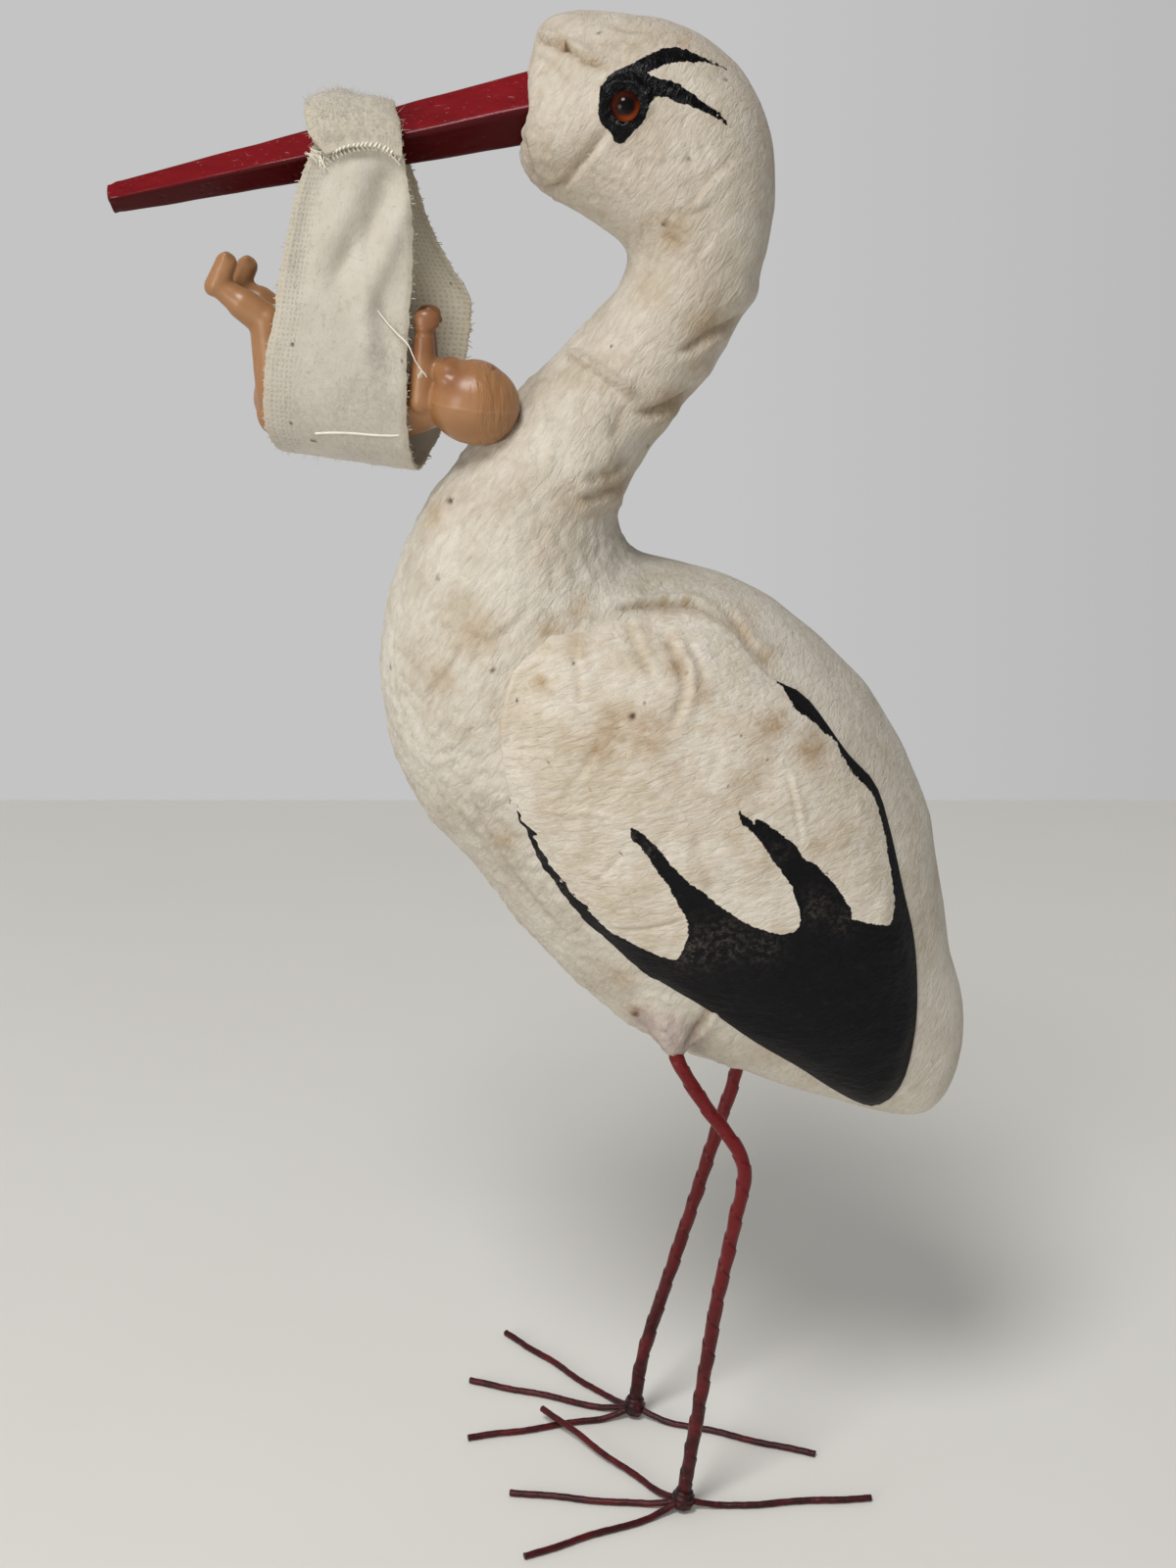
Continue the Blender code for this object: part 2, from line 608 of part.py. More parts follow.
def main():
    clear_scene()
    group = make_collection("spun_cotton_stork")
    cutters = make_collection("cutters")
    cotton = make_material("spun_cotton", COTTON, 0.95)
    lacquer = make_material("beak_lacquer", LACQUER, 0.22)
    wrap = make_material("leg_wrap", WIRE_RED, 0.55)
    glass = make_material("eye_glass", AMBER, 0.05)
    flesh = make_material("doll_plastic", FLESH, 0.42)
    flannel = make_material("flannel", FLANNEL, 0.95)

    body = add_object("body", body_bmesh(), group, cotton)
    tree = BVHTree.FromPolygons(
        [v.co for v in body.data.vertices], [p.vertices for p in body.data.polygons]
    )
    for side, name in ((-1.0, "left"), (1.0, "right")):
        pad = wing_bmesh(body.data, tree, side)
        add_object(name + "_wing", pad, group, cotton)
        eye = build_eye(name + "_eye", side, group, glass, body.data, tree)
        thigh = hide_cutter(add_object(name + "_thigh", thigh_bmesh(side), cutters))
        add_boolean(body, thigh, "UNION")
        build_leg(name + "_leg", side, group, wrap, cutters)
        toes = LEFT_TOES if side < 0 else RIGHT_TOES
        for toe, direction, length in toes:
            over = (toe, side) == CROSSING_TOE
            build_toe(name + "_toe_" + toe, side, direction, length, over, group, wrap)
        socket = bmesh.new()
        bmesh.ops.create_uvsphere(
            socket, u_segments=EYE_SEGMENTS, v_segments=EYE_RINGS,
            radius=EYE_DIAMETER / 2.0 + FIT_GAP,
            matrix=Matrix.Translation(eye.location),
        )
        eye_cutter = hide_cutter(add_object(name + "_eye_socket", socket, cutters))
        add_boolean(body, eye_cutter, "DIFFERENCE")
        hole = smooth_path(leg_points(side), LEG_STEPS)[:2 * LEG_STEPS + 1]
        hole[0] = hole[0] + (hole[0] - hole[1]).normalized() * FIT_GAP
        stem_cutter = curve_wire(
            name + "_stem_hole", hole, LEG_DIAMETER + 2.0 * FIT_GAP, cutters, None
        )
        add_boolean(body, hide_cutter(stem_cutter), "DIFFERENCE")

    beak = add_object("beak", beak_bmesh(0.0), group, lacquer)
    edge = beak.modifiers.new("Edges", "BEVEL")
    edge.width = BEAK_EDGE_ROUND
    edge.segments = 1
    seat = hide_cutter(add_object("beak_seat", beak_bmesh(FIT_GAP), cutters))
    add_boolean(body, seat, "DIFFERENCE")

    build_sling(group, flannel)
    build_doll(group, flesh, cutters)

    for ob in list(group.objects) + list(cutters.objects):
        ob.location = ob.location + FRAME_SHIFT


main()
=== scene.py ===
# Spun cotton stork ornament: the look of each piece, laid over its solids in the order it is put together.
import math

import bmesh
import bpy
import numpy as np
from mathutils import Matrix, Vector, noise
from mathutils.bvhtree import BVHTree
from mathutils.interpolate import poly_3d_calc


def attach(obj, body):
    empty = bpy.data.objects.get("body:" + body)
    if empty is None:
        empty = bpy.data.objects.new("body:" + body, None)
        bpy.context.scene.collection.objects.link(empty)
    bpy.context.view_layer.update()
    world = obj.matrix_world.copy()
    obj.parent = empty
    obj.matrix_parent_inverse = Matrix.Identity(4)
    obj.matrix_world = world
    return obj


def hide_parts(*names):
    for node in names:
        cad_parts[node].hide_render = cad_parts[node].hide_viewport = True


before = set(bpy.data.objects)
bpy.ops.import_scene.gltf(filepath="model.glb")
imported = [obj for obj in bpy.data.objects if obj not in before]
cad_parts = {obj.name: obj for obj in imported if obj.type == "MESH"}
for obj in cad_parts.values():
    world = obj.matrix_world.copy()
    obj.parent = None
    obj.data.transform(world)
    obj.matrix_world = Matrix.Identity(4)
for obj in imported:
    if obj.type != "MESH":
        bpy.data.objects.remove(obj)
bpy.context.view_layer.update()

# Body: head, neck, breast, trunk and tail in one piece of spun cotton, wound wet,
# pressed and glued smooth. Fine wrinkles, folds and old brown stains show in its
# skin. Glossy black paint is dabbed on round each eye.
MM = 0.001
MIDDLE = np.array((3.95, -7.63, 0.0))       # bird's mid-plane on the floor, in mm of the row frame
BODY_VOXEL = 0.62                           # mm between the skin's points
BODY_SMOOTHING = 30                         # passes that even the skin out
EYE_PLACE = (4.80, 209.35)                  # x, z of the eye's middle
EYE_OUT = 9.83                              # its distance from the mid-plane
EYE_RADIUS = 2.2
BEAK_FACE = Vector((-7.51, 0.0, 208.96))
BEAK_TIP = Vector((-63.9, 0.0, 197.18))
STEM_TOP = (12.25, 10.2, 83.9)              # x, distance from the middle, z
STEM_MOUTH = (12.85, 12.5, 77.3)

# Outline of the black paint round the eye, with its two brush strokes to the back
EYE_PAINT = (
    (1.5, 210.5), (1.6, 211.6), (2.5, 212.9), (3.5, 213.7), (4.9, 214.2), (5.9, 214.7), (6.9, 215.2),
    (8.0, 215.7), (9.4, 216.25), (10.6, 216.4), (11.6, 216.4), (12.6, 216.1), (13.6, 215.7),
    (14.4, 215.4), (15.3, 215.0), (16.5, 214.5), (17.5, 214.1), (18.5, 213.4), (17.6, 213.8),
    (15.3, 214.6), (14.1, 214.7), (12.6, 214.6), (10.9, 214.6), (10.0, 214.4), (8.8, 214.0), (7.4, 213.4),
    (8.5, 213.0), (10.0, 212.5), (11.2, 212.3), (11.9, 211.9), (12.7, 211.3), (14.1, 210.4),
    (14.9, 209.7), (16.0, 209.1), (16.8, 208.6), (17.3, 208.0), (17.9, 207.3), (18.7, 206.5),
    (17.3, 207.3), (16.4, 207.9), (15.4, 208.4), (14.3, 208.9), (12.8, 209.5), (11.3, 209.9),
    (10.3, 210.3), (9.3, 210.7), (8.5, 210.5), (8.0, 209.8), (7.6, 208.8), (7.3, 207.8), (6.5, 206.9),
    (5.8, 206.5), (5.5, 205.9), (5.0, 205.2), (4.2, 204.8), (3.4, 205.1), (3.1, 205.9), (2.8, 206.5),
    (2.0, 207.1), (1.5, 208.3),
)

# Folds and creases: depth, half width and lip in mm, side it is on (0 is both), then the line in side view
BODY_FOLDS = (
    (0.95, 0.40, 0.80, 0, (
        (-8.6, 219.0), (-7.4, 217.9), (-6.1, 217.4), (-4.4, 217.0), (-2.8, 216.4), (-1.3, 215.7),
        (-0.4, 214.9), (1.3, 214.5), (3.1, 213.6))),
    (0.78, 0.50, -0.32, 0, (
        (2.6, 207.2), (1.5, 205.6), (0.5, 204.1), (-0.3, 203.1), (-1.5, 201.9), (-2.3, 200.8),
        (-3.2, 199.7), (-4.8, 198.9), (-6.6, 198.7))),
    (0.42, 1.40, 0.00, 0, (
        (1.4, 207.0), (0.2, 205.2), (-1.3, 203.5), (-2.6, 202.2), (-3.8, 201.2), (-5.6, 200.6))),
    (0.40, 0.35, 0.20, 0, ((-8.3, 206.3), (-7.9, 204.0), (-7.6, 202.5), (-7.1, 201.1), (-6.3, 199.6))),
    (0.35, 0.35, 0.15, 0, ((-6.8, 215.6), (-5.0, 214.9), (-3.2, 213.6), (-2.2, 212.2))),
    (0.30, 0.35, 0.00, 0, ((-6.4, 212.8), (-5.2, 213.8), (-3.6, 215.4))),
    (0.28, 0.30, 0.00, 0, ((-0.6, 217.2), (2.0, 216.9), (5.0, 217.3), (7.4, 216.4))),
    (0.30, 0.35, -0.15, 0, ((2.6, 219.2), (5.6, 218.4), (8.6, 218.4))),
    (0.80, 0.70, 0.60, -1, (
        (22.5, 182.4), (20.5, 181.6), (18.4, 180.7), (16.3, 180.1), (13.5, 178.4), (11.6, 178.0))),
    (0.95, 0.75, 0.65, -1, ((15.6, 173.0), (13.3, 171.4), (11.4, 170.6), (8.9, 169.9), (6.4, 169.8))),
    (0.55, 0.80, 0.35, -1, ((7.2, 160.9), (5.4, 160.1), (3.3, 159.8), (0.7, 159.2), (-2.4, 158.2))),
    (0.45, 0.70, 0.35, -1, ((5.6, 163.6), (3.0, 162.0), (0.6, 161.6), (-1.8, 161.8))),
    (0.65, 0.90, 0.45, 1, ((21.5, 184.0), (17.4, 182.4), (14.0, 182.0), (9.5, 180.2))),
    (0.70, 1.00, 0.45, 1, ((12.6, 168.4), (9.0, 168.0), (5.4, 166.2), (1.4, 165.8))),
    (0.05, 0.50, 1.20, -1, (
        (-3.6, 176.4), (-2.0, 176.3), (0.2, 175.6), (2.9, 174.2), (5.4, 172.4), (6.6, 171.8))),
    (0.45, 0.80, 0.00, -1, ((4.8, 171.2), (4.2, 168.6), (3.6, 166.6))),
    (0.40, 0.35, 0.15, -1, ((13.2, 191.9), (11.9, 192.0), (10.8, 192.7), (9.7, 192.6))),
    (0.35, 0.60, 0.25, 0, ((19.5, 203.5), (15.5, 200.5), (12.6, 196.4))),
    (0.30, 0.50, 0.15, 0, ((17.0, 197.4), (13.0, 195.8), (10.1, 195.9))),
    (0.30, 0.50, 0.15, -1, ((16.6, 194.2), (14.4, 191.0), (13.6, 188.6))),
    (0.35, 0.45, 0.15, 0, ((-22.3, 131.3), (-21.3, 133.3), (-19.6, 135.8), (-17.8, 138.0), (-16.4, 141.5))),
    (0.30, 0.40, 0.15, 0, ((-17.1, 142.6), (-13.1, 141.0), (-10.5, 143.0), (-7.0, 146.0))),
    (0.28, 0.50, 0.10, 0, ((-16.5, 121.5), (-14.6, 114.5), (-9.6, 105.0), (-2.0, 95.4))),
    (0.25, 0.45, 0.10, 0, ((-18.6, 117.5), (-13.6, 108.5), (-7.8, 100.8))),
    (0.22, 0.40, 0.10, 0, ((-20.5, 124.0), (-17.0, 126.5), (-15.0, 130.5))),
    (0.95, 0.28, 0.55, 0, ((3.2, 144.2), (6.5, 144.4), (10.0, 144.5), (14.0, 144.1), (17.0, 143.1))),
    (0.45, 0.55, 0.30, 0, ((18.4, 143.2), (20.6, 140.8), (22.4, 138.2), (25.6, 135.8))),
    (0.90, 0.60, 0.70, 0, ((18.6, 89.0), (17.4, 86.2), (16.3, 83.2), (15.0, 80.8), (13.9, 79.0))),
    (0.40, 0.45, 0.20, 0, ((11.4, 86.6), (12.2, 83.6), (12.9, 80.6))),
)

# Outline of the wing's pad, under which the body stays even
WING_EDGE = (
    (-12.27, 136.1), (-10.4, 138.5), (-6.1, 141.9), (-0.4, 143.5), (7.5, 144.0), (15.0, 143.4),
    (19.0, 141.4), (24.3, 135.0), (29.8, 131.6), (36.0, 123.3), (40.1, 118.5), (42.4, 111.8),
    (44.6, 103.0), (46.6, 95.0), (47.5, 85.6), (47.2, 78.2), (46.0, 71.3), (43.5, 67.2), (40.7, 67.0),
    (35.6, 70.9), (30.4, 75.4), (24.0, 80.0), (17.7, 85.3), (11.6, 89.5), (7.8, 91.7), (3.2, 96.5),
    (-1.7, 101.1), (-7.4, 109.5), (-11.4, 118.0), (-12.7, 121.7), (-13.8, 127.3), (-13.6, 132.6),
)

# Brown stains of old glue and damp: x, z, radius in mm and strength
BODY_STAINS = (
    (-3.2, 216.7, 1.2, 0.55), (0.4, 215.0, 1.4, 0.40), (12.4, 217.2, 1.3, 0.6), (18.0, 215.0, 1.2, 0.45),
    (17.0, 208.6, 1.4, 0.35), (11.5, 193.4, 2.6, 0.65), (8.6, 195.2, 2.2, 0.30), (8.4, 186.0, 3.0, 0.30),
    (3.6, 176.2, 2.4, 0.28), (16.0, 181.0, 3.0, 0.60), (10.4, 170.6, 3.2, 0.60), (14.6, 176.0, 2.6, 0.35),
    (3.4, 159.8, 3.4, 0.50), (-2.0, 158.4, 3.2, 0.35), (-21.0, 156.0, 2.6, 0.5),
    (-14.4, 141.7, 3.6, 0.42), (-19.6, 135.6, 2.2, 0.40), (-5.9, 152.4, 4.0, 0.22),
    (-1.3, 144.6, 1.6, 0.5), (-5.2, 142.6, 1.4, 0.6), (10.4, 144.5, 0.5, 0.80), (7.2, 144.5, 0.45, 0.55),
    (13.4, 144.1, 0.5, 0.8), (4.6, 144.3, 0.4, 0.4), (21.0, 140.6, 2.2, 0.50), (24.4, 137.0, 1.6, 0.45),
    (4.9, 90.4, 2.2, 0.55), (7.1, 84.0, 1.4, 0.85), (-11.2, 112.4, 1.7, 0.55), (26.0, 77.5, 2.6, 0.30),
    (24.2, 150.2, 2.0, 0.25),
)

# Single dark specks in the skin: x, z, radius in mm
BODY_SPECKS = (
    (17.6, 212.6, 0.22), (10.0, 194.7, 0.32), (8.2, 188.0, 0.18), (2.9, 178.6, 0.20), (5.2, 160.9, 0.30),
    (11.1, 180.8, 0.22), (8.0, 164.8, 0.20), (-27.0, 134.7, 0.20), (-12.6, 137.4, 0.22),
    (-18.5, 157.8, 0.30), (1.3, 218.2, 0.20), (-2.9, 216.5, 0.34), (7.0, 83.3, 0.45),
    (-20.0, 148.4, 0.16), (-24.0, 126.0, 0.16), (30.0, 140.4, 0.18), (40.0, 122.0, 0.16),
    (13.0, 203.2, 0.16),
)


def stored_points(mesh):
    """The mesh's points as an array, as they are stored."""
    flat = np.empty(len(mesh.vertices) * 3)
    mesh.vertices.foreach_get("co", flat)
    return flat.reshape(-1, 3)


def points_of(mesh):
    """The mesh's points in mm from the bird's middle."""
    return stored_points(mesh) / MM - MIDDLE


def move_points(mesh, spots):
    mesh.vertices.foreach_set("co", ((spots + MIDDLE) * MM).ravel())
    mesh.update()


def normals_of(mesh):
    flat = np.empty(len(mesh.vertices) * 3)
    mesh.vertex_normals.foreach_get("vector", flat)
    return flat.reshape(-1, 3)


def keep_values(mesh, name, values):
    """Stores one number per point under a name that the materials read."""
    mesh.attributes.new(name, "FLOAT", "POINT").data.foreach_set("value", values.astype(np.float32))


def kept_values(mesh, name):
    values = np.empty(len(mesh.vertices))
    mesh.attributes[name].data.foreach_get("value", values)
    return values


def along_line(line, x, z):
    """Distance to a line in side view, share of the way along it, and which side a point is on."""
    line = np.array(line, float)
    steps = np.diff(line, axis=0)
    lengths = np.maximum(np.hypot(*steps.T), 1e-6)
    passed = np.concatenate(([0.0], np.cumsum(lengths)))
    best = np.full(len(x), 1e9)
    share = np.zeros(len(x))
    side = np.zeros(len(x))
    for start, step, length, before in zip(line, steps, lengths, passed):
        dx, dz = x - start[0], z - start[1]
        t = np.clip((dx * step[0] + dz * step[1]) / length ** 2, 0.0, 1.0)
        gap = np.hypot(dx - t * step[0], dz - t * step[1])
        near = gap < best
        best = np.where(near, gap, best)
        share = np.where(near, (before + t * length) / passed[-1], share)
        side = np.where(near, np.sign(step[0] * dz - step[1] * dx), side)
    return best, share, side


def inside_by(outline, x, z):
    """How far inside a closed outline each point lies, in mm; less than zero is outside."""
    closed = list(outline) + [outline[0]]
    gap, _, _ = along_line(closed, x, z)
    within = np.zeros(len(x), bool)
    for (ax, az), (bx, bz) in zip(closed, closed[1:]):
        if az != bz:
            crosses = ((az > z) != (bz > z)) & (x < (bx - ax) * (z - az) / (bz - az) + ax)
            within ^= crosses
    return np.where(within, gap, -gap)


def on_curve(a, b, c, d, t):
    """Place t of the way from b to c on a smooth curve that also passes a and d."""
    bend = 2 * a - 5 * b + 4 * c - d
    twist = 3 * b - a - 3 * c + d
    return 0.5 * (2 * b + (c - a) * t + bend * t ** 2 + twist * t ** 3)


def read_between(where, known, rows):
    """Rows of numbers read off between the known ones."""
    return np.stack([np.interp(where, known, column) for column in rows.T], 1)


def evenly(fine, count):
    """Evenly spaced points along a finely divided line, and its length."""
    passed = np.concatenate(([0.0], np.cumsum(np.linalg.norm(np.diff(fine, axis=0), axis=1))))
    return read_between(np.linspace(0.0, passed[-1], count), passed, fine), passed[-1]


def smooth_loop(line, count):
    """Evenly spaced points on a smooth closed curve through the given ones."""
    line = np.array(line, float)
    before, after, later = (np.roll(line, shift, 0) for shift in (1, -1, -2))
    shares = np.linspace(0.0, 1.0, 16, endpoint=False)
    fine = np.stack([on_curve(before, line, after, later, t) for t in shares], 1).reshape(-1, line.shape[1])
    return evenly(np.vstack((fine, fine[:1])), count + 1)[0]


def lumps(spots, size, seed):
    """Soft uneven swell between -1 and 1, of a given size in mm."""
    shift = Vector((seed * 7.3, seed * 3.1, seed * 5.7))
    return np.array([noise.noise(Vector(p) / size + shift) for p in spots])


def fade(values, low, high):
    """Rises smoothly from 0 at low to 1 at high."""
    t = np.clip((values - low) / (high - low), 0.0, 1.0)
    return t * t * (3.0 - 2.0 * t)


def press_folds(folds, x, z, y, facing):
    """Depth, and painted shade in the crease, that a set of folds gives each point of the cotton."""
    offset = np.zeros(len(x))
    dark = np.zeros(len(x))
    for depth, width, lip, only, line in folds:
        gap, share, side = along_line(line, x, z)
        strength = np.minimum(1.0, 5.0 * np.minimum(share, 1.0 - share) + 0.12) * facing
        if only:
            strength = strength * (y * only > 0.0)
        offset -= depth * strength * np.exp(-(gap / width) ** 2)
        lip_here = strength * np.exp(-((gap - 1.5 * width) / (1.3 * width)) ** 2) * (side * lip > 0.0)
        offset += abs(lip) * lip_here
        # Painted shade: the deeper the fold, the darker its crease
        dark = np.maximum(dark, strength * min(1.0, depth * 1.4) * np.exp(-(gap / (0.75 * width)) ** 2))
    return offset, dark


def spots_of(spots, x, z):
    total = np.zeros(len(x))
    for sx, sz, radius, strength in spots:
        total = np.maximum(total, strength * np.exp(-((x - sx) ** 2 + (z - sz) ** 2) / radius ** 2))
    return total


def specks_of(specks, x, z):
    total = np.zeros(len(x))
    for sx, sz, radius in specks:
        total = np.maximum(total, fade(-np.hypot(x - sx, z - sz), -radius * 1.6, -radius * 0.6))
    return total


def mesh_from(name, bm):
    """Turns a bmesh into a smoothly shaded mesh and lets it go."""
    for face in bm.faces:
        face.smooth = True
    mesh = bpy.data.meshes.new(name)
    bm.to_mesh(mesh)
    bm.free()
    return mesh


def mesh_object(name, mesh):
    ob = bpy.data.objects.new(name, mesh)
    bpy.context.scene.collection.objects.link(ob)
    return ob


def merged_copy(node):
    """A copy of a node's triangles with their shared corners joined, in mm from the bird's middle."""
    bm = bmesh.new()
    bm.from_mesh(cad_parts[node].data)
    bmesh.ops.remove_doubles(bm, verts=bm.verts, dist=0.00001)
    bmesh.ops.transform(bm, matrix=Matrix.Diagonal((1.0 / MM,) * 3 + (1.0,)), verts=bm.verts)
    bmesh.ops.translate(bm, vec=-Vector(MIDDLE), verts=bm.verts)
    return bm


def one_skin(name, bm, voxel, smoothing, still=None):
    """Joins overlapping closed shapes (in mm) into one even skin, and smooths it."""
    mesh = mesh_from(name, bm)
    ob = mesh_object(name, mesh)
    skin = ob.modifiers.new("Skin", "REMESH")
    skin.mode = "VOXEL"
    skin.voxel_size = voxel
    graph = bpy.context.evaluated_depsgraph_get()
    result = bpy.data.meshes.new_from_object(ob.evaluated_get(graph))
    bpy.data.objects.remove(ob)
    bpy.data.meshes.remove(mesh)
    count = len(result.vertices)
    spots = stored_points(result)
    ends = np.empty(len(result.edges) * 2, int)
    result.edges.foreach_get("vertices", ends)
    a, b = ends.reshape(-1, 2).T
    degree = np.bincount(a, minlength=count) + np.bincount(b, minlength=count)
    move = np.ones(count) if still is None else 1.0 - still(spots)
    for _ in range(smoothing):
        mean = np.empty_like(spots)
        for axis in range(3):
            total = np.bincount(a, spots[b, axis], count) + np.bincount(b, spots[a, axis], count)
            mean[:, axis] = total / degree
        spots += (mean - spots) * (0.5 * move)[:, None]
    move_points(result, spots)
    result.name = name
    for polygon in result.polygons:
        polygon.use_smooth = True
    return result


def stub(bm, start, end, radius_start, radius_end, segments=12, turn=0.0):
    """A closed cone between two places, used to fill a seat before the skin is made."""
    start, end = Vector(start), Vector(end)
    axis = end - start
    bmesh.ops.create_cone(
        bm, cap_ends=True, segments=segments, radius1=radius_start, radius2=radius_end, depth=axis.length,
        matrix=Matrix.Translation((start + end) / 2.0) @ axis.to_track_quat("Z", "Y").to_matrix().to_4x4()
        @ Matrix.Rotation(turn, 4, "Z"),
    )


# The seats of the beak, eyes and stems are filled before the skin is made
body_form = merged_copy("body")
beak_line = (BEAK_TIP - BEAK_FACE).normalized()
stub(body_form, BEAK_FACE + beak_line * -9.2, BEAK_FACE + beak_line * -0.9, 5.9, 5.75, segments=4)
for hand in (-1.0, 1.0):
    eye_spot = Vector((EYE_PLACE[0], hand * EYE_OUT, EYE_PLACE[1]))
    socket = Matrix.Translation(eye_spot - Vector((0.0, hand * 1.0, 0.0)))
    bmesh.ops.create_icosphere(body_form, subdivisions=3, radius=EYE_RADIUS + 0.5, matrix=socket)
    top = Vector((STEM_TOP[0], hand * STEM_TOP[1], STEM_TOP[2] + 1.0))
    mouth = Vector((STEM_MOUTH[0], hand * STEM_MOUTH[1], STEM_MOUTH[2]))
    stub(body_form, top, mouth, 1.6, 1.45)
    # A tongue of cotton drawn down one side of the stem
    tongue_top = mouth + Vector((-0.7, -hand * 0.3, 1.2))
    tongue_end = mouth + Vector((0.05, -hand * 0.3, -2.0))
    stub(body_form, tongue_top, tongue_end, 1.5, 0.85)


def belly_still(spots):
    """The cotton round the stems' mouths, low on the belly, hardly gives when the skin is smoothed."""
    return 0.86 * fade(-spots[:, 2], -92.0, -82.0) * (spots[:, 0] < 22.0)


body_mesh = one_skin("body_cotton", body_form, BODY_VOXEL, BODY_SMOOTHING, belly_still)
body_spots = points_of(body_mesh)
body_normals = normals_of(body_mesh)
even_faces = [tuple(p.vertices) for p in body_mesh.polygons]
even_tree = BVHTree.FromPolygons([Vector(p) for p in body_spots], even_faces)
even_spots = [Vector(p) for p in body_spots]
even_normals = [Vector(n) for n in body_normals]
body_x, body_y, body_z = body_spots.T
body_flank = fade(np.abs(body_normals[:, 1]), 0.10, 0.45)
push, dark = press_folds(BODY_FOLDS, body_x, body_z, body_y, body_flank)

# Smoothing shrank the skin a little, so it is let out again
push += 0.16
# Cotton laid on by hand is never even: broad swells, more on the neck than on the breast
neck_part = fade(body_z, 150.0, 165.0) * fade(-body_z, -196.0, -186.0)
wing_rim = smooth_loop(WING_EDGE, 90)
in_wing = inside_by(wing_rim, body_x, body_z)


def gap_to(place):
    """Distance from the body's points to a place, or to its mirror place on the other side."""
    across = np.abs(body_y) - place[1]
    return np.sqrt((body_x - place[0]) ** 2 + across ** 2 + (body_z - place[2]) ** 2)


from_mouth = gap_to(STEM_MOUTH)
calm = (1.0 - fade(in_wing, -2.5, 0.3)) * fade(from_mouth, 1.5, 7.0)
push *= 1.0 - fade(in_wing, 0.4, 1.2)
for size, seed, height, on_neck in ((11.0, 1, 0.26, 0.50), (4.2, 2, 0.06, 0.18), (2.0, 3, 0.025, 0.055)):
    push += calm * lumps(body_spots, size, seed) * (height + on_neck * neck_part)
# Crumple lines of the pressed skin run where a slow noise crosses zero, on the head alone
crumpled = 0.30 * fade(body_z, 186.0, 198.0)
drawn_spots = body_spots * (1.0, 1.0, 0.62) + body_spots[:, [2, 0, 1]] * (0.35, 0.0, 0.0)
crumple = lumps(drawn_spots, 3.4, 8)
push -= calm * crumpled * np.exp(-(crumple / 0.10) ** 2) * fade(lumps(body_spots, 7.0, 9), -0.2, 0.5)
push -= 0.85 * fade(-from_mouth, -4.5, -1.0)
# Slanting wrinkles round the neck, where the wet cotton was bent
slant = body_z - 0.45 * body_x + 2.2 * lumps(body_spots, 9.0, 4)
wrinkled = neck_part * np.sin(slant * 2.0 * math.pi / 5.6)
push += 0.16 * wrinkled * fade(lumps(body_spots, 8.0, 5), -0.15, 0.35)
# Pad of the cheek in front of its fold, the crown and its overhang, and two knobs on the nape:
# height, x and half length, z and half height, and where each shows
facing_back = fade(body_normals[:, 0], 0.2, 0.8)
for height, mid_x, long, mid_z, tall, shown in (
    (0.60, -1.8, 3.6, 206.0, 5.0, body_flank),
    (0.65, -8.2, 1.7, 219.2, 1.6, 1.0),
    (-0.45, -9.2, 1.6, 216.6, 1.3, 1.0),
    (0.45, -2.5, 5.0, 219.5, 2.6, 1.0),
    (0.75, 21.5, 3.2, 184.5, 3.4, facing_back),
    (0.55, 16.5, 2.6, 174.2, 2.6, facing_back),
):
    push += height * np.exp(-(((body_x - mid_x) / long) ** 2 + ((body_z - mid_z) / tall) ** 2)) * shown
# Lips of cotton drawn up round the root of the beak
along_beak = (body_spots - np.array(BEAK_FACE)) @ np.array(beak_line)
face_part = fade(along_beak, -2.4, -0.6)
push += face_part * (0.25 + 0.35 * lumps(body_spots, 1.5, 6))

# Thick black paint stands proud round the glass eye
eye_gap = gap_to((EYE_PLACE[0], EYE_OUT, EYE_PLACE[1]))
UNPAINTED = -5.0
body_paint = np.where(body_normals[:, 1] * body_y > 0.0, inside_by(EYE_PAINT, body_x, body_z), UNPAINTED)
paint_ring = np.exp(-((eye_gap - EYE_RADIUS - 0.75) / 0.60) ** 2)
push += paint_ring * (0.38 + 0.50 * lumps(body_spots, 0.9, 7)) + 0.12 * fade(body_paint, -0.1, 0.4)
push -= 0.5 * fade(-eye_gap, -EYE_RADIUS - 0.1, -EYE_RADIUS + 0.5)
move_points(body_mesh, body_spots + body_normals * push[:, None])

keep_values(body_mesh, "paint", body_paint)
# A dark line is painted along the wing's top edge, in the crevice where the pad meets the body; it goes in
# with the creases' painted shade
wing_line = np.exp(-(in_wing / 0.40) ** 2) * (0.2 + 0.9 * np.exp(-((body_x - 10.0) / 5.0) ** 2))
keep_values(body_mesh, "crease_shade", np.maximum(dark, wing_line * fade(body_z, 130.0, 141.0) * (body_y < 0.0)))
# Head and neck are painted a little darker than the breast: painted shade, put into the stain and soil
# channels
painted_head_shade = 0.16 * fade(body_z, 150.0, 178.0) * (1.0 + 0.9 * lumps(body_spots, 9.0, 10))
stained = spots_of(BODY_STAINS, body_x, body_z) * np.where(body_y < 0.0, 1.0, 0.55)
keep_values(body_mesh, "stain_and_shade", np.maximum(stained * (0.25 + 0.75 * body_flank), 0.7 * painted_head_shade))
keep_values(body_mesh, "speck", specks_of(BODY_SPECKS, body_x, body_z) * (body_y < 0.0))
# Red dye of the paper has soaked into the cotton round the stems, and the lower breast is dusty
stem_gap = gap_to((10.5, 12.0, 79.0))
dyed = 0.85 * fade(-stem_gap, -9.0, -3.0)
dusty = 0.30 * fade(-body_x, 4.0, 24.0) * fade(-body_z, -118.0, -96.0)
keep_values(body_mesh, "soil_and_shade", dyed + dusty + 0.5 * painted_head_shade)


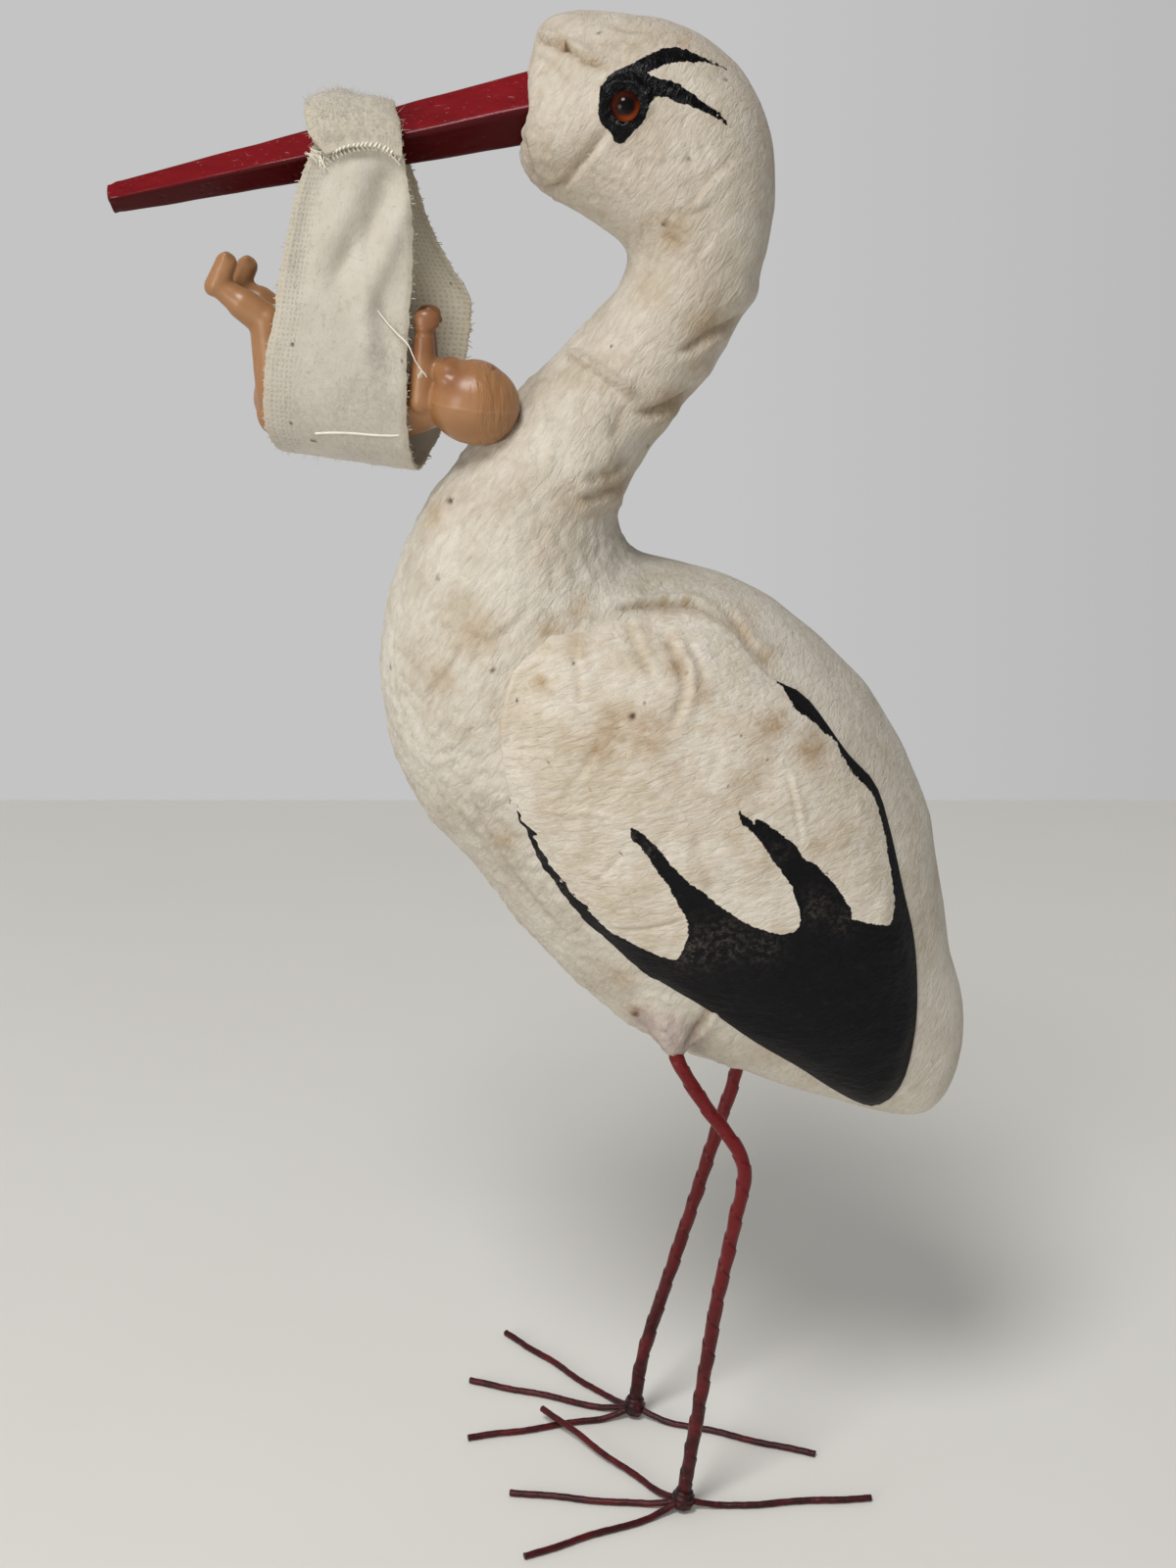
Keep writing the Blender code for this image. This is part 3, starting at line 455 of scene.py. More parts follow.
def linear(colour):
    """An sRGB hex colour as linear red, green, blue and alpha."""
    parts = [int(colour[i:i + 2], 16) / 255.0 for i in (1, 3, 5)]
    return tuple(c / 12.92 if c <= 0.04045 else ((c + 0.055) / 1.055) ** 2.4 for c in parts) + (1.0,)


def add_node(tree, kind, settings=None, links=None):
    """A shader node with its settings, and its inputs set or linked by name or place."""
    node = tree.nodes.new("ShaderNode" + kind)
    for name, value in (settings or {}).items():
        setattr(node, name, value)
    for name, value in (links or {}).items():
        if isinstance(value, bpy.types.NodeSocket):
            tree.links.new(value, node.inputs[name])
        else:
            node.inputs[name].default_value = value
    return node


def new_finish(name):
    """A material with a bare Principled shader."""
    finish = bpy.data.materials.new(name)
    finish.use_nodes = True
    return finish, finish.node_tree, finish.node_tree.nodes["Principled BSDF"]


# Settings of the shader nodes that mix and multiply
COLOURS, NUMBERS = {"data_type": "RGBA"}, {"data_type": "FLOAT"}
TIMES, TIMES_PLUS = {"operation": "MULTIPLY"}, {"operation": "MULTIPLY_ADD"}
TIMES_AT_MOST_1 = {"operation": "MULTIPLY", "use_clamp": True}


def cotton_finish(name, lit, shade, paint, paint_rough, grain):
    """Pressed cotton fibre with a skin of glue: matt, faintly felted, mottled, with a painted part."""
    finish, tree, shader = new_finish(name)
    place = add_node(tree, "TexCoord").outputs["Object"]
    mottle = add_node(tree, "TexNoise", None, {
        "Vector": place, "Scale": 1000.0 / 9.0, "Detail": 5.0, "Roughness": 0.62})
    felt = add_node(tree, "TexNoise", None, {
        "Vector": place, "Scale": 1000.0 / 1.5, "Detail": 4.0, "Roughness": 0.6})
    drawn = add_node(tree, "Mapping", {"vector_type": "TEXTURE"}, {
        "Vector": place, "Rotation": (0.0, -math.radians(grain), 0.0), "Scale": (3.2, 1.6, 1.0)})
    fibre = add_node(tree, "TexNoise", None, {
        "Vector": drawn.outputs[0], "Scale": 1000.0 / 0.75, "Detail": 4.0, "Roughness": 0.6,
        "Distortion": 0.9})
    freckle = add_node(tree, "TexVoronoi", None, {"Vector": place, "Scale": 1000.0 / 1.7})
    values = {}
    for key in ("paint", "crease_shade", "stain_and_shade", "speck", "soil_and_shade", "scuff"):
        values[key] = add_node(tree, "Attribute", {"attribute_name": key}).outputs["Fac"]

    woolly = add_node(tree, "Mix", NUMBERS, {0: 0.42, 2: mottle.outputs["Fac"], 3: fibre.outputs["Fac"]})
    spread = add_node(tree, "MapRange", None, {
        "Value": woolly.outputs[0], "From Min": 0.40, "From Max": 0.66})
    ground = add_node(tree, "Mix", COLOURS, {0: spread.outputs[0], 6: linear(lit), 7: linear(shade)})
    # Pale rust freckles of a fifth of a millimetre, only where the mottle is strong
    dots = add_node(tree, "MapRange", None, {
        "Value": freckle.outputs["Distance"], "From Min": 0.22, "From Max": 0.08})
    where = add_node(tree, "MapRange", None, {
        "Value": mottle.outputs["Fac"], "From Min": 0.50, "From Max": 0.66, "To Max": 0.45})
    dotted = add_node(tree, "Math", TIMES, {0: dots.outputs[0], 1: where.outputs[0]})
    # Stains follow their given spots, with the painted head shade, broken up by the felt
    blot = add_node(tree, "MapRange", None, {
        "Value": felt.outputs["Fac"], "From Min": 0.30, "From Max": 0.70, "To Min": 0.45, "To Max": 1.35})
    stain_and_shade_amount = add_node(tree, "Math", TIMES_AT_MOST_1, {0: values["stain_and_shade"], 1: blot.outputs[0]})
    painted_crease_shade = add_node(tree, "Math", TIMES_AT_MOST_1, {0: values["crease_shade"], 1: 0.55})
    # Dye and dust, with more of the painted head shade
    dusty = add_node(tree, "Math", TIMES_AT_MOST_1, {0: values["soil_and_shade"], 1: blot.outputs[0]})
    # Freckles, stains with painted head shade, painted shade in the creases, dye and dust with more painted
    # head shade, and specks, each over the one before
    skin = ground.outputs[2]
    for strength, tint in (
        (dotted.outputs[0], "#B39B78"), (stain_and_shade_amount.outputs[0], "#A08054"), (painted_crease_shade.outputs[0], "#8A7350"),
        (dusty.outputs[0], "#A08C86"), (values["speck"], "#5A4632"),
    ):
        skin = add_node(tree, "Mix", COLOURS, {0: strength, 6: skin, 7: linear(tint)}).outputs[2]

    # The paint's edge is ragged where the brush dragged over the fibres
    edge = add_node(tree, "TexNoise", None, {
        "Vector": place, "Scale": 1000.0 / 0.8, "Detail": 4.0, "Roughness": 0.7})
    rag = add_node(tree, "Math", TIMES_PLUS, {0: edge.outputs["Fac"], 1: 0.9, 2: -0.45})
    reach = add_node(tree, "Math", {"operation": "ADD"}, {0: values["paint"], 1: rag.outputs[0]})
    cover = add_node(tree, "MapRange", None, {
        "Value": reach.outputs[0], "From Min": -0.04, "From Max": 0.05})
    thin = add_node(tree, "MapRange", None, {
        "Value": felt.outputs["Fac"], "From Min": 0.58, "From Max": 0.85, "To Max": 0.10})
    rubbed = add_node(tree, "MapRange", None, {
        "Value": edge.outputs["Fac"], "From Min": 0.46, "From Max": 0.66, "To Max": 0.8})
    worn = add_node(tree, "Math", {"operation": "MULTIPLY_ADD", "use_clamp": True}, {
        0: values["scuff"], 1: rubbed.outputs[0], 2: thin.outputs[0]})
    brushed = add_node(tree, "Mix", COLOURS, {0: worn.outputs[0], 6: linear(paint), 7: linear("#5E564E")})
    colour = add_node(tree, "Mix", COLOURS, {0: cover.outputs[0], 6: skin, 7: brushed.outputs[2]})
    tree.links.new(colour.outputs[2], shader.inputs["Base Color"])
    rough = add_node(tree, "Mix", NUMBERS, {0: cover.outputs[0], 2: 0.82, 3: paint_rough})
    tree.links.new(rough.outputs[0], shader.inputs["Roughness"])
    soft = add_node(tree, "Bump", None, {
        "Height": felt.outputs["Fac"], "Strength": 0.75, "Distance": 0.15 * MM})
    fine = add_node(tree, "Bump", None, {
        "Height": fibre.outputs["Fac"], "Strength": 1.0, "Distance": 0.33 * MM,
        "Normal": soft.outputs[0]})
    step = add_node(tree, "Bump", None, {
        "Height": cover.outputs[0], "Strength": 0.5, "Distance": 0.06 * MM, "Normal": fine.outputs[0]})
    tree.links.new(step.outputs[0], shader.inputs["Normal"])
    gloss = add_node(tree, "Math", TIMES_PLUS, {0: cover.outputs[0], 1: -0.17, 2: 0.30})
    tree.links.new(gloss.outputs[0], shader.inputs["Specular IOR Level"])
    felted = add_node(tree, "Math", TIMES_PLUS, {0: cover.outputs[0], 1: -0.10, 2: 0.10})
    tree.links.new(felted.outputs[0], shader.inputs["Sheen Weight"])
    return finish


# Spun cotton: warm ivory, matt with a dull glue skin. The eye paint is a thick gloss enamel.
body_cotton = cotton_finish("spun_cotton_body", "#D0C9BC", "#B2A793", "#050405", 0.16, 55.0)
body = mesh_object("body_cotton", body_mesh)
body.data.materials.clear()
body.data.materials.append(body_cotton)
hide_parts("body")
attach(body, "root")

# Wings: a thin pad of cotton glued on each flank, its edge smoothed down on the
# body, so that only a crease shows in front and on top. The back edge and tip are
# painted matt black in three fingers that run forward.
WING_COLUMNS, WING_ROWS, WING_UNDER = 460, 104, 5
WING_SWELL = 2.35                           # mm the pad stands over the flank in its middle
WING_DUST = 0.12                            # how dusty the pads are all over
WING_SWELLS = ((0.30, 8.0, 11), (0.16, 3.4, 12), (0.07, 1.5, 13))   # uneven cotton: height, size, seed
# Black paint: the pad's edge from the front, round the tip to the top, then back along the three fingers
WING_PAINT = (
    (-11.8, 118.6), (-13.5, 114.0), (-9.0, 104.5), (-3.0, 98.0), (2.6, 93.0), (7.0, 88.5), (12.5, 85.5),
    (20.0, 80.5), (30.0, 72.0), (40.0, 64.5), (46.5, 64.5), (50.0, 78.0), (49.8, 92.0), (46.6, 106.0),
    (43.0, 118.0), (38.6, 122.9), (36.4, 124.9), (34.9, 126.6), (33.5, 128.4), (32.9, 130.0),
    (31.6, 131.2), (30.3, 132.3), (28.8, 132.9), (26.7, 134.2), (24.2, 135.6), (26.5, 133.5),
    (28.6, 131.5), (30.4, 129.7), (31.7, 128.0), (32.3, 127.0), (33.6, 126.1), (34.3, 125.1),
    (35.0, 123.4), (36.4, 121.2), (38.4, 119.1), (39.3, 118.0), (40.3, 115.8), (41.0, 113.7),
    (41.7, 110.9), (42.2, 108.1), (42.7, 105.2), (43.1, 102.3), (42.8, 99.8), (42.4, 99.0), (40.5, 99.4),
    (38.3, 100.3), (36.7, 101.0), (36.6, 102.4), (35.9, 103.4), (35.0, 105.0), (33.8, 106.8),
    (32.4, 108.4), (31.4, 109.5), (29.5, 110.7), (28.8, 112.2), (27.4, 113.6), (25.3, 115.4),
    (23.9, 116.4), (22.7, 117.1), (22.5, 116.1), (22.2, 116.8), (21.2, 117.5), (20.4, 118.3),
    (20.7, 116.5), (21.9, 115.4), (22.9, 114.5), (24.0, 112.8), (25.4, 110.6), (26.8, 108.6),
    (28.0, 106.8), (28.7, 104.5), (29.2, 102.2), (29.2, 100.7), (28.6, 99.8), (27.1, 99.5), (25.1, 100.1),
    (23.0, 100.8), (20.9, 102.0), (19.5, 103.2), (18.1, 104.2), (17.2, 105.1), (15.4, 106.8),
    (13.8, 107.9), (12.7, 109.1), (11.3, 110.6), (10.1, 112.3), (8.7, 114.0), (7.3, 115.5), (5.6, 116.6),
    (5.9, 114.4), (7.2, 113.3), (8.4, 111.4), (9.6, 109.3), (11.1, 107.3), (12.1, 105.1), (12.9, 103.5),
    (13.7, 102.0), (13.8, 99.8), (13.3, 97.8), (12.8, 96.1), (12.2, 95.4), (10.2, 95.7), (8.2, 96.7),
    (5.4, 98.2), (3.4, 98.9), (2.0, 100.1), (0.0, 101.9), (-2.2, 104.2), (-4.0, 106.4), (-5.7, 108.8),
    (-6.9, 111.1), (-7.9, 113.7), (-9.3, 115.8), (-10.3, 117.5),
)
WING_FOLDS = (
    (0.55, 0.50, 0.32, 0, (
        (-6.0, 141.0), (-8.6, 139.4), (-10.4, 137.4), (-11.5, 134.4), (-12.2, 130.3), (-12.2, 126.1),
        (-11.6, 121.8), (-10.6, 118.8))),
    (0.30, 0.70, 0.20, 0, ((4.6, 143.4), (5.4, 142.4), (6.8, 139.6), (9.0, 135.4))),
    (0.45, 0.75, 0.30, 0, (
        (9.8, 141.8), (11.4, 139.6), (12.7, 137.3), (12.9, 134.7), (11.9, 131.9), (10.8, 129.8))),
    (0.30, 0.70, 0.10, 0, ((13.1, 140.4), (14.6, 138.2), (15.2, 136.4), (14.7, 134.4))),
    (0.22, 0.50, 0.12, 0, ((1.6, 127.9), (-0.7, 124.4), (-2.6, 121.8), (-4.0, 118.1))),
    (0.22, 0.40, 0.20, 0, ((26.9, 123.4), (27.5, 121.0), (28.4, 117.3), (29.3, 112.6))),
    (0.22, 0.40, 0.12, 0, ((5.3, 114.3), (4.2, 111.9), (2.7, 109.4), (0.0, 106.8))),
    (0.22, 0.40, 0.12, 0, ((2.0, 99.9), (4.6, 100.0), (8.1, 100.4), (11.0, 101.4), (13.5, 102.4))),
    (0.20, 0.50, 0.10, 0, ((-0.9, 142.6), (-2.0, 139.6), (-1.0, 135.9), (-1.3, 132.7))),
    (0.18, 0.50, 0.10, 0, ((-7.2, 135.9), (-3.3, 134.0), (0.0, 131.4), (3.3, 128.8), (6.2, 128.0))),
    (-0.22, 0.60, 0.00, 0, ((-5.3, 118.0), (0.0, 118.3), (3.2, 117.8), (5.8, 116.2))),
    (0.20, 0.90, 0.00, 0, ((17.2, 104.0), (16.4, 108.0), (14.8, 111.6), (14.4, 116.0))),
)
WING_STAINS = (
    (5.6, 131.6, 1.6, 0.55), (3.6, 130.6, 2.6, 0.50), (8.0, 129.4, 3.6, 0.45), (1.6, 127.6, 2.0, 0.40),
    (10.5, 124.4, 3.4, 0.28), (25.2, 129.3, 2.4, 0.60), (30.4, 125.6, 2.6, 0.55),
    (11.8, 137.8, 1.6, 0.50), (15.3, 134.2, 1.8, 0.40), (-6.5, 135.9, 1.1, 0.60),
    (13.5, 121.5, 4.0, 0.20), (-8.0, 128.0, 4.0, 0.14), (-1.5, 140.8, 1.5, 0.28),
    (22.5, 122.4, 3.5, 0.16), (32.6, 112.4, 2.2, 0.18), (11.0, 140.4, 1.2, 0.40),
    (-6.0, 117.2, 3.0, 0.14), (16.0, 109.0, 2.4, 0.20),
)
WING_SPECKS = (
    (5.9, 131.8, 0.42), (-2.0, 138.6, 0.16), (7.4, 133.4, 0.14), (13.3, 136.9, 0.16), (20.6, 128.4, 0.15),
    (24.4, 124.8, 0.14), (-9.6, 133.6, 0.15), (0.4, 121.6, 0.14), (-5.4, 125.2, 0.15),
    (18.8, 121.8, 0.14), (33.0, 108.0, 0.15), (4.4, 112.2, 0.14),
)
WING_SCUFFS = (
    (14.5, 97.5, 3.6, 0.75), (19.0, 99.0, 3.4, 0.65), (24.5, 97.5, 2.6, 0.55), (31.5, 103.2, 2.4, 0.60),
    (35.5, 101.0, 2.2, 0.45), (8.2, 112.6, 1.4, 0.65), (6.4, 115.0, 0.8, 0.8), (-6.6, 109.6, 1.4, 0.8),
    (-3.4, 105.4, 1.4, 0.8), (-9.0, 114.6, 1.2, 0.6), (26.0, 112.0, 1.8, 0.35),
)


def bent_grid(name, columns, rows, place, weld=0.004):
    """A flat grid of quads moved to place(u, v) in mm, with meeting edges welded; it keeps its u and v."""
    bm = bmesh.new()
    bmesh.ops.create_grid(bm, x_segments=columns, y_segments=rows, size=0.5)
    mesh = mesh_from(name, bm)
    u, v, _ = (stored_points(mesh) + 0.5).T
    u, v = np.clip(u, 0.0, 1.0), np.clip(v, 0.0, 1.0)
    keep_values(mesh, "across", u)
    keep_values(mesh, "along", v)
    move_points(mesh, place(u, v))
    bm = bmesh.new()
    bm.from_mesh(mesh)
    bmesh.ops.remove_doubles(bm, verts=bm.verts, dist=weld * MM)
    bmesh.ops.dissolve_degenerate(bm, dist=weld * MM * 0.2, edges=bm.edges)
    bmesh.ops.recalc_face_normals(bm, faces=bm.faces)
    for face in bm.faces:
        face.smooth = True
    bm.to_mesh(mesh)
    bm.free()
    return mesh


wing_middle = np.mean(WING_EDGE, axis=0)
wing_edge = smooth_loop(WING_EDGE, WING_COLUMNS)


def flank_place(x, z, hand):
    """Place on the even skin of a flank and its smooth normal."""
    hit, _, face, _ = even_tree.ray_cast(Vector((x, hand * 60.0, z)), Vector((0.0, -hand, 0.0)))
    if hit is None:
        hit, _, face, _ = even_tree.find_nearest(Vector((x, hand * 3.0, z)))
    corners = even_faces[face]
    weights = poly_3d_calc([even_spots[i] for i in corners], hit)
    normal = Vector()
    for weight, i in zip(weights, corners):
        normal += even_normals[i] * weight
    return np.array(hit), np.array(normal.normalized())


def wing_place(u, v, hand):
    """Outer face from the middle to the rim, then a short way back under the body's skin."""
    outer = v <= 1.0 - WING_UNDER / WING_ROWS
    level = np.where(outer, v / (1.0 - WING_UNDER / WING_ROWS), (1.0 - v) * WING_ROWS / WING_UNDER)
    level = 1.0 - (1.0 - level) ** 1.25
    rim = read_between(u * WING_COLUMNS, np.arange(WING_COLUMNS + 1), wing_edge)
    flat = wing_middle + (rim - wing_middle) * level[:, None]
    x, z = flat.T
    from_rim = np.abs(inside_by(wing_rim, x, z))
    # The pad is smoothed down on the body in front and on top, and thicker along the painted edge
    thick_edge = fade(0.6 * (x - 5.0) - 0.4 * (z - 115.0), -8.0, 6.0)
    least = 0.10 + 0.28 * thick_edge
    swell = least + (WING_SWELL - least) * (1.0 - np.exp(-(from_rim / (6.5 - 3.2 * thick_edge)) ** 1.25))
    swell = np.where(outer, swell * fade(from_rim, -0.2, 0.35) - 0.25 * (from_rim < 0.05), -0.8)
    spots = np.empty((len(x), 3))
    for i in range(len(x)):
        place, normal = flank_place(x[i], z[i], hand)
        spots[i] = place + normal * swell[i]
    return spots


wing_cotton = cotton_finish("spun_cotton_wing", "#DFD8CA", "#C0B197", "#0B0A0D", 0.50, 20.0)

for hand, side in ((-1.0, "left"), (1.0, "right")):
    mesh = bent_grid(side + "_wing_pad", WING_COLUMNS, WING_ROWS, lambda u, v: wing_place(u, v, hand))
    spots = points_of(mesh)
    normals = normals_of(mesh)
    if np.mean(normals[:, 1] * hand) < 0.0:
        mesh.flip_normals()
        normals = normals_of(mesh)
    x, y, z = spots.T
    facing = (normals[:, 1] * hand > 0.1).astype(float)
    push, dark = press_folds(WING_FOLDS, x, z, y, facing)
    inset = inside_by(wing_rim, x, z)
    calm = fade(inset, 0.3, 2.5)
    push += calm * sum(height * lumps(spots, size, seed) for height, size, seed in WING_SWELLS)
    wave = z + 0.10 * x + 1.4 * lumps(spots, 7.0, 14)
    push += 0.035 * calm * np.sin(wave * 2.0 * math.pi / 1.5) * fade(lumps(spots, 6.0, 15), -0.1, 0.3)
    move_points(mesh, spots + normals * (push * facing)[:, None])
    # The brush left the front edge thin and flecked, and a thick blob where the back edge starts
    flecked = fade(-x, -3.0, 0.0) * fade(-z, -124.0, -118.0)
    blob = np.exp(-(((x - 29.6) / 2.4) ** 2 + ((z - 131.2) / 2.8) ** 2))
    brushed = inside_by(WING_PAINT, x, z) + flecked * (0.42 + 0.75 * lumps(spots, 0.9, 14))
    brushed = brushed + blob * (1.25 + 0.8 * lumps(spots, 1.3, 15))
    keep_values(mesh, "paint", brushed)
    # Painted shade in the wing's folds, and along its top edge just outside the pad, where the body's skin
    # laps over it
    top_edge = fade(z, 138.0, 142.0)
    keep_values(mesh, "crease_shade", np.maximum(dark, 0.8 * top_edge * fade(-inset, -0.9, -0.1)))
    stain_strength = 1.35 if hand < 0.0 else 0.7
    keep_values(mesh, "stain_and_shade", np.clip(spots_of(WING_STAINS, x, z) * stain_strength, 0.0, 1.0))
    keep_values(mesh, "speck", specks_of(WING_SPECKS, x, z) * (hand < 0.0))
    keep_values(mesh, "soil_and_shade", np.full(len(x), WING_DUST))
    keep_values(mesh, "scuff", spots_of(WING_SCUFFS, x, z))
    wing = mesh_object(side + "_wing_pad", mesh)
    mesh.materials.append(wing_cotton)
    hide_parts(side + "_wing")
    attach(wing, "root")

# Beak: a square wooden stick, tapered and blunt, set on edge into the head. Its red lacquer
# lies thick and pitted, with pale scratches and painted glints above and painted shade below.
BEAK_LONG = 57.6                            # mm from the face to the tip
BEAK_SEAT = 8.0
BEAK_ROOT, BEAK_END = 7.0, 3.0              # side of the square at the face and at the tip
BEAK_CAP = 0.03                             # share of the stick's rows that closes each end
BEAK_COLUMNS, BEAK_ROWS = 96, 320


def round_square(turn, side, sharp=9.0):
    """Radius of a square with soft corners at an angle."""
    c, s = np.abs(np.cos(turn)), np.abs(np.sin(turn))
    return 0.5 * side / (c ** sharp + s ** sharp) ** (1.0 / sharp)


def beak_place(u, v):
    """Round the stick by u; by v from the middle of the root's end to the middle of the tip's."""
    run = np.clip((v - BEAK_CAP) / (1.0 - 2.0 * BEAK_CAP), 0.0, 1.0)
    along = -BEAK_SEAT + run * (BEAK_LONG + BEAK_SEAT)
    closing = np.clip(np.minimum(v, 1.0 - v) / BEAK_CAP, 0.0, 1.0)
    side = BEAK_ROOT + (BEAK_END - BEAK_ROOT) * along / BEAK_LONG
    turn = u * 2.0 * math.pi
    radius = round_square(turn, side) * closing
    ends = np.array([along, radius * np.cos(turn + math.pi / 4.0), radius * np.sin(turn + math.pi / 4.0)]).T
    swell = lumps(ends * (0.5, 1.0, 1.0), 3.0, 21) * 0.07 + lumps(ends * (0.3, 1.0, 1.0), 1.1, 22) * 0.03
    chipped = 0.30 * lumps(ends, 1.3, 23) * fade(along, BEAK_LONG - 2.5, BEAK_LONG)
    radius = radius + (swell + chipped) * closing
    at_tip = v > 0.5
    along = along - 0.35 * (1.0 - closing) * at_tip * lumps(ends, 1.6, 24)
    along = along + 0.25 * (1.0 - closing ** 2) * at_tip
    out = np.array(beak_line)
    up = np.array((-out[2], 0.0, out[0])) * (-1.0 if out[0] < 0.0 else 1.0)
    spots = np.array(BEAK_FACE) + np.outer(along, out)
    spots[:, 1] += radius * np.cos(turn + math.pi / 4.0)
    return spots + np.outer(radius * np.sin(turn + math.pi / 4.0), up)


def lacquer_finish():
    finish, tree, shader = new_finish("beak_lacquer")
    place = add_node(tree, "TexCoord").outputs["Object"]
    turned = add_node(tree, "Mapping", None, {"Vector": place, "Rotation": (0.0, math.radians(-11.8), 0.0)})
    drawn = add_node(tree, "Mapping", None, {"Vector": turned.outputs[0], "Scale": (0.16, 1.0, 1.0)})
    cloud = add_node(tree, "TexNoise", None, {
        "Vector": drawn.outputs[0], "Scale": 1000.0 / 2.4, "Detail": 4.0})
    scrape = add_node(tree, "TexNoise", None, {
        "Vector": drawn.outputs[0], "Scale": 1000.0 / 0.5, "Detail": 5.0, "Roughness": 0.7})
    pits = add_node(tree, "TexVoronoi", None, {"Vector": turned.outputs[0], "Scale": 1000.0 / 1.5})
    up = add_node(tree, "SeparateXYZ", None, {0: add_node(tree, "NewGeometry").outputs["Normal"]})
    top = add_node(tree, "MapRange", None, {"Value": up.outputs["Z"], "From Min": 0.1, "From Max": 0.6})
    shade = add_node(tree, "Mix", COLOURS, {
        0: cloud.outputs["Fac"], 6: linear("#56030A"), 7: linear("#800C15")})
    # The lower faces are painted darker: painted shade
    under = add_node(tree, "Mix", COLOURS, {0: top.outputs[0], 6: linear("#430308"), 7: shade.outputs[2]})
    # Pale rubs, partly wear and partly painted glints, only lie on the two upper faces
    rub_and_glint = add_node(tree, "MapRange", None, {
        "Value": scrape.outputs["Fac"], "From Min": 0.62, "From Max": 0.72, "To Max": 0.85})
    rubbed = add_node(tree, "Math", TIMES, {0: rub_and_glint.outputs[0], 1: top.outputs[0]})
    colour = add_node(tree, "Mix", COLOURS, {
        0: rubbed.outputs[0], 6: under.outputs[2], 7: linear("#AE7072")})
    dents = add_node(tree, "MapRange", None, {
        "Value": pits.outputs["Distance"], "From Min": 0.05, "From Max": 0.30})
    low = add_node(tree, "Bump", None, {"Height": dents.outputs[0], "Strength": 0.8, "Distance": 0.16 * MM})
    wavy = add_node(tree, "Bump", None, {
        "Height": cloud.outputs["Fac"], "Strength": 0.5, "Distance": 0.35 * MM, "Normal": low.outputs[0]})
    tree.links.new(colour.outputs[2], shader.inputs["Base Color"])
    tree.links.new(wavy.outputs[0], shader.inputs["Normal"])
    shader.inputs["Roughness"].default_value = 0.45
    shader.inputs["Specular IOR Level"].default_value = 0.06
    shader.inputs["Coat Weight"].default_value = 0.18
    shader.inputs["Coat Roughness"].default_value = 0.14
    return finish


# Red spirit lacquer, brushed on thick: high gloss over uneven wood.
beak = mesh_object("beak_stick", bent_grid("beak_stick", BEAK_COLUMNS, BEAK_ROWS, beak_place))
beak.data.materials.append(lacquer_finish())
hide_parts("beak")
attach(beak, "root")

# Eyes: two blown beads of brown glass with a black pupil, pushed into the cotton
# and held by it and the paint. A painted glow stands for the light that gathers at the lower edge.


def eye_finish():
    finish, tree, shader = new_finish("eye_glass")
    pupil = add_node(tree, "Attribute", {"attribute_name": "pupil"}).outputs["Fac"]
    glow = add_node(tree, "Attribute", {"attribute_name": "glow"}).outputs["Fac"]
    # The iris is painted brighter towards its lower edge: a painted glow
    iris = add_node(tree, "Mix", COLOURS, {0: glow, 6: linear("#1A0603"), 7: linear("#A84414")})
    colour = add_node(tree, "Mix", COLOURS, {0: pupil, 6: iris.outputs[2], 7: linear("#080404")})
    tree.links.new(colour.outputs[2], shader.inputs["Base Color"])
    shader.inputs["Roughness"].default_value = 0.30
    shader.inputs["Specular IOR Level"].default_value = 0.0
    shader.inputs["Coat Weight"].default_value = 0.32
    shader.inputs["Coat Roughness"].default_value = 0.02
    return finish


# Blown glass: a clear bright coat, with the colour lying deep inside.
eye_glass = eye_finish()
for hand, side in ((-1.0, "left"), (1.0, "right")):
    bm = bmesh.new()
    bmesh.ops.create_icosphere(bm, subdivisions=5, radius=EYE_RADIUS)
    bmesh.ops.translate(bm, vec=(EYE_PLACE[0], hand * EYE_OUT, EYE_PLACE[1]), verts=bm.verts)
    mesh = mesh_from(side + "_eye_bead", bm)
    spots = stored_points(mesh)
    local = (spots - (EYE_PLACE[0], hand * EYE_OUT, EYE_PLACE[1])) / EYE_RADIUS
    radial = np.hypot(local[:, 0] - 0.10, local[:, 2] - 0.05)
    lower = 0.62 * local[:, 0] - 0.78 * local[:, 2]
    keep_values(mesh, "pupil", fade(-radial, -0.55, -0.25))
    # Painted glow: brighter towards the lower back of the bead
    glow = fade(lower, -0.05, 0.85) * fade(radial, 0.25, 0.7) + 0.05 * fade(radial, 0.4, 0.8)
    keep_values(mesh, "glow", np.clip(glow, 0.0, 1.0))
    move_points(mesh, spots)
    eye = mesh_object(side + "_eye_bead", mesh)
    mesh.materials.append(eye_glass)
    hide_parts(side + "_eye")
    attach(eye, "root")

